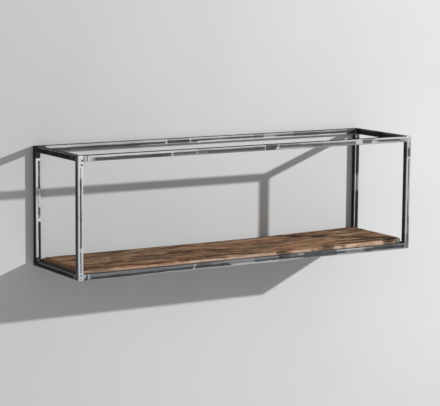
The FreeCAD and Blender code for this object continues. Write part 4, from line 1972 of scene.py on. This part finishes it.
    def carve_top(self, x: float, y: float, half: Vector) -> tuple[float, float, float]:
        """Carves the top at one place.

        Args:
            x: place along the board, in mm.
            y: place across it.
            half: half sizes of the board.

        Returns:
            Depth in mm, and wear and the darkening by dirt and painted shadow.
        """
        front, right = y + half.y, half.x - x
        depth, dirt = self.hollow(x, y)
        worn = 0.0
        kept = self.front_keep * self.end_rise * (1.0 - self.low_share(right))
        fall = self.front_fall + kept * min(1.0, right / self.full_corner)
        depth += fall * max(0.0, 1.0 - front / self.front_reach) ** 1.5
        width, drop, tan = self.front_wear(x)
        rim = width * 1.3
        if front < rim:
            depth += drop * max(0.0, 1.0 - front / width) ** 1.3
            fresh = tan * max(0.0, 1.0 - 2.2 * max(0.0, 1.0 - tan))
            worn = fresh * min(1.0, 1.6 * max(0.0, 1.25 - front / width))
        # Darker strip just behind the worn front arris
        elif front < rim + self.dirt_strip:
            dirt = max(dirt, 0.32 * (1.0 - (front - rim) / self.dirt_strip))
        gaps = (half.y - y, x + half.x, right)
        for edge, gap, along, edge_tan in zip(RoughEdge, gaps, (x, y, y), self.edge_tan):
            width, drop = self.chip(along, edge, front)
            if edge is RoughEdge.LEFT:
                width, drop = self.round_width + 0.5 * width, self.round_drop + 0.3 * drop
            if gap < width:
                share = 1.0 - gap / width
                depth += drop * share ** 1.2
                worn = max(worn, edge_tan * share)
        return max(0.0, depth), worn, dirt

    def carve_underside(self, x: float, y: float, half: Vector) -> float:
        """Carves the underside at one place.

        Args:
            x: place along the board, in mm.
            y: place across it.
            half: half sizes of the board.

        Returns:
            Depth in mm.
        """
        saw_marks = bumpy(x / 3.2, y / 80.0, 3.0)
        grain = bumpy(x / 40.0, y / 4.0, 6.0)
        edge_gap = min(half.x - abs(x), half.y - abs(y))
        return 0.16 + 0.10 * saw_marks + 0.06 * grain + 0.5 * max(0.0, 1.0 - edge_gap / 1.5)

    def build(self, wood: Material) -> None:
        """Carves the plank.

        Args:
            wood: finish of the plank.
        """
        low, high = (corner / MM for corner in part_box("shelf_board"))
        half = (high - low) / 2
        thick = high.z - low.z
        work = self.blank(half.x, half.y, thick)
        layers = [work.verts.layers.float.new(name) for name in PLANK_LAYERS]
        for vertex in work.verts:
            x, y, z = vertex.co
            rise = 1.0 + z / thick
            sawn_end = 1.0 if rise < 0.9 and half.x - abs(x) < ON_SIDE else 0.0
            worn = dirt = 0.0
            z -= self.end_rise * self.low_share(half.x - x) * rise
            if rise > 0.999:
                depth, worn, dirt = self.carve_top(x, y, half)
                z -= depth
            elif rise < 0.001:
                z += self.carve_underside(x, y, half)
            x, y, worn, dirt = self.carve_sides(x, y, z, rise, half, worn, dirt)
            vertex.co = Vector((x, y, z + high.z)) * MM
            for layer, value in zip(layers, (worn, dirt, sawn_end)):
                vertex[layer] = value
        Bench.piece("plank", work, (wood,), "hardwood", "shelf_board", self.sharp)

    def carve_sides(self, x: float, y: float, z: float, rise: float, half: Vector, worn: float,
                    dirt: float) -> tuple[float, float, float, float]:
        """Pushes the points of the four sides inwards.

        Args:
            x: place along the board, in mm.
            y: place across it.
            z: height below the top.
            rise: share of the thickness, 1 at the top.
            half: half sizes of the board.
            worn: wear so far.
            dirt: darkening by dirt and painted shadow so far.

        Returns:
            The new x and y, wear and the darkening by dirt and painted shadow.
        """
        upper = max(0.0, rise - 0.45) / 0.55
        if y + half.y < ON_SIDE:
            width, drop, tan = self.front_wear(x)
            grain = bumpy(x / 90.0, z / 1.6, 8.0)
            y += 0.22 + 0.16 * grain + 0.5 * min(1.0, width / 9.0) * upper ** 2
            worn = max(worn, tan * (1.0 - 2.2 * max(0.0, 1.0 - tan) * upper ** 2))
            for mark in self.blemishes:
                if mark.y < -100.0 and abs(x - mark.x) < mark.long * 1.3:
                    share = max(0.0, min(1.0, 1.5 - abs(x - mark.x) / mark.long))
                    y += 0.9 * share * upper
                    dirt = max(dirt, mark.dark * share * (0.5 + 0.5 * upper))
        elif half.y - y < ON_SIDE:
            width, _ = self.chip(x, RoughEdge.BACK, y + half.y)
            y -= 0.20 + 0.5 * min(3.0, width / 3.0) * upper ** 1.5
            worn = max(worn, 0.4 * upper)
        for sign, edge in ((-1.0, RoughEdge.LEFT), (1.0, RoughEdge.RIGHT)):
            if half.x - sign * x < ON_SIDE:
                width, _ = self.chip(y, edge, y + half.y)
                rough = bumpy(y / 2.5, z / 2.0, edge.value)
                x -= sign * (0.30 + 0.25 * rough + 0.7 * min(3.0, width / 3.0) * upper ** 1.4)
        inset_x, inset_y = abs(x) - (half.x - self.corner), abs(y) - (half.y - self.corner)
        if inset_x > 0.0 and inset_y > 0.0:
            reach = math.hypot(inset_x, inset_y)
            if reach > self.corner:
                x -= math.copysign(inset_x * (1.0 - self.corner / reach), x)
                y -= math.copysign(inset_y * (1.0 - self.corner / reach), y)
        return x, y, worn, dirt


@dataclass(frozen=True)
class Lamp:
    """A square lamp that is aimed at the middle of the shelf, in metres.

    Attributes:
        name: name of the lamp.
        place: where it hangs.
        size: side of the lamp.
        power: its power, in watts.
        aim: the point that it is aimed at.
    """

    name: str
    place: Triple
    size: float
    power: float
    aim: Triple = (0.0, 0.0, 0.15)

    def hang(self) -> None:
        """Hangs the lamp in the scene."""
        data = bpy.data.lights.new(self.name, "AREA")
        data.shape = "SQUARE"
        data.size = self.size
        data.energy = self.power
        lamp = bpy.data.objects.new(self.name, data)
        lamp.location = self.place
        lamp.rotation_mode = "QUATERNION"
        lamp.rotation_quaternion = (Vector(self.aim) - Vector(self.place)).to_track_quat("-Z", "Y")
        bpy.context.scene.collection.objects.link(lamp)


@dataclass
class Studio:
    """Wall, floor, lamps, sky and camera.

    Attributes:
        wall_gap: distance from the frame's back to the wall, in metres.
        floor_height: height of the floor, in metres.
        reach: half width of the wall and the floor, in metres.
        cells: cells along each side of them.
        room_front: brightness of the even light from the room in front.
        room_back: brightness of the even light from behind the wall.
        bounce: brightness that the floor throws up.
        bright_side: direction that the room's light comes from.
        room_turn: where its light begins and is full, as cosines of the angle from that direction.
        bounce_turn: where the floor's light begins and is full, as heights of the direction.
        sky: colour of the even light.
        lamps: its lamps.
        camera_place: the camera's place, in metres.
        yaw: turn of its view to the right, in degrees.
        pitch: how far it looks down.
        roll: its roll.
        lens: focal length on the sensor below, in mm.
        sensor: width of the sensor, in mm.
        view_end: how far the camera sees, in metres.
    """

    wall_gap: float = 0.0006
    floor_height: float = -1.25
    reach: float = 24.0
    cells: int = 8
    room_front: float = 0.45
    room_back: float = 0.12
    bounce: float = 0.40
    bright_side: Triple = (0.25, -0.92, -0.30)
    room_turn: tuple[float, float] = (-0.35, 0.45)
    bounce_turn: tuple[float, float] = (-0.40, -0.85)
    sky: Triple = (0.96, 0.98, 1.0)
    lamps: tuple[Lamp, ...] = (
        Lamp("key", (4.21, -3.14, 1.72), 0.09, 335.0), Lamp("rear", (0.6, 2.6, -1.9), 2.4, 22.0))
    camera_place: Triple = (-2.3956, -3.8752, 0.7948)
    yaw: float = 31.47
    pitch: float = 8.16
    roll: float = 0.48
    lens: float = 144.33
    sensor: float = 36.0
    view_end: float = 60.0

    def sheet(self, name: str, centre: Vector, turn: Euler, paint: Material) -> None:
        """Lays one flat stage sheet. The camera's rays alone meet it, so it sends no light to the shelf.

        Args:
            name: name of the sheet.
            centre: its middle.
            turn: its turn from lying flat.
            paint: its material.
        """
        work = bmesh.new()
        bmesh.ops.create_grid(work, x_segments=self.cells, y_segments=self.cells, size=self.reach,
                              matrix=Matrix.Translation(centre) @ turn.to_matrix().to_4x4())
        mesh = bpy.data.meshes.new(name)
        work.to_mesh(mesh)
        work.free()
        mesh.materials.append(paint)
        sheet = bpy.data.objects.new(name, mesh)
        bpy.context.scene.collection.objects.link(sheet)
        for ray in ("diffuse", "glossy", "transmission", "volume_scatter", "shadow"):
            setattr(sheet, "visible_" + ray, False)
        sheet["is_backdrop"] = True

    def light(self) -> None:
        """Sets the sky and hangs the lamps."""
        world = bpy.data.worlds.new("studio")
        bpy.context.scene.world = world
        world.use_nodes = True
        canvas = NodeCanvas(world.node_tree)
        glow = canvas.add("Background")
        canvas.feed(canvas.add("OutputWorld").inputs["Surface"], glow.outputs[0])
        away = canvas.add("TexCoord").outputs["Generated"]
        towards = canvas.vector("DOT_PRODUCT", away, self.bright_side)
        room = canvas.span(towards, *self.room_turn, self.room_back, self.room_front, smooth=True)
        bounced = canvas.span(canvas.parts(away)[2], *self.bounce_turn, 0.0, self.bounce, smooth=True)
        canvas.feed(glow.inputs["Color"], self.sky)
        canvas.feed(glow.inputs["Strength"], canvas.plus(room, bounced))
        for lamp in self.lamps:
            lamp.hang()

    def camera(self) -> None:
        """Puts the camera where the photograph was taken from."""
        yaw, pitch, roll = (math.radians(angle) for angle in (self.yaw, self.pitch, self.roll))
        level = math.cos(pitch)
        forward = Vector((math.sin(yaw) * level, math.cos(yaw) * level, -math.sin(pitch)))
        right = Vector((math.cos(yaw), -math.sin(yaw), 0.0))
        up = right.cross(forward)
        across = right * math.cos(roll) + up * math.sin(roll)
        above = up * math.cos(roll) - right * math.sin(roll)
        data = bpy.data.cameras.new("camera")
        data.lens = self.lens
        data.sensor_width = self.sensor
        data.clip_end = self.view_end
        camera = bpy.data.objects.new("camera", data)
        turn = Matrix((across, above, -forward)).transposed().to_4x4()
        camera.matrix_world = Matrix.Translation(self.camera_place) @ turn
        bpy.context.scene.collection.objects.link(camera)
        bpy.context.scene.camera = camera

    def build(self, back: float) -> None:
        """Builds the whole studio.

        Args:
            back: the frame's rearmost Y, in metres.
        """
        bpy.context.scene.view_settings.view_transform = "Standard"
        paint = StagePaint().material("stage_paint")
        self.sheet("wall", Vector((0, back + self.wall_gap, self.floor_height + self.reach)),
                   Euler((math.pi / 2, 0, 0)), paint)
        self.sheet("floor", Vector((0, back - self.reach, self.floor_height)), Euler((0, 0, 0)), paint)
        self.light()
        self.camera()
        log.info("studio: wall, floor, %d lamps and camera", len(self.lamps))


def main() -> None:
    """Builds the shelf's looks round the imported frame."""
    logging.basicConfig(level=logging.INFO, format="%(name)s: %(message)s")
    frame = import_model()
    cad_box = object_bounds()
    nodes = frame["nodes"]

    TubeFrame(nodes).finish()
    EndCaps(nodes).finish()
    bead_steel = WeldMetal().material("weld_bead")
    CornerWelds().build(bead_steel)
    TabWelds(nodes).build(bead_steel, FlatSteel().material("flat_steel_bar"))
    BoardScrews(nodes).finish()
    Plank().build(OldHardwood().material("old_hardwood"))
    Studio().build(cad_box[1].y)


if __name__ == "__main__":
    main()
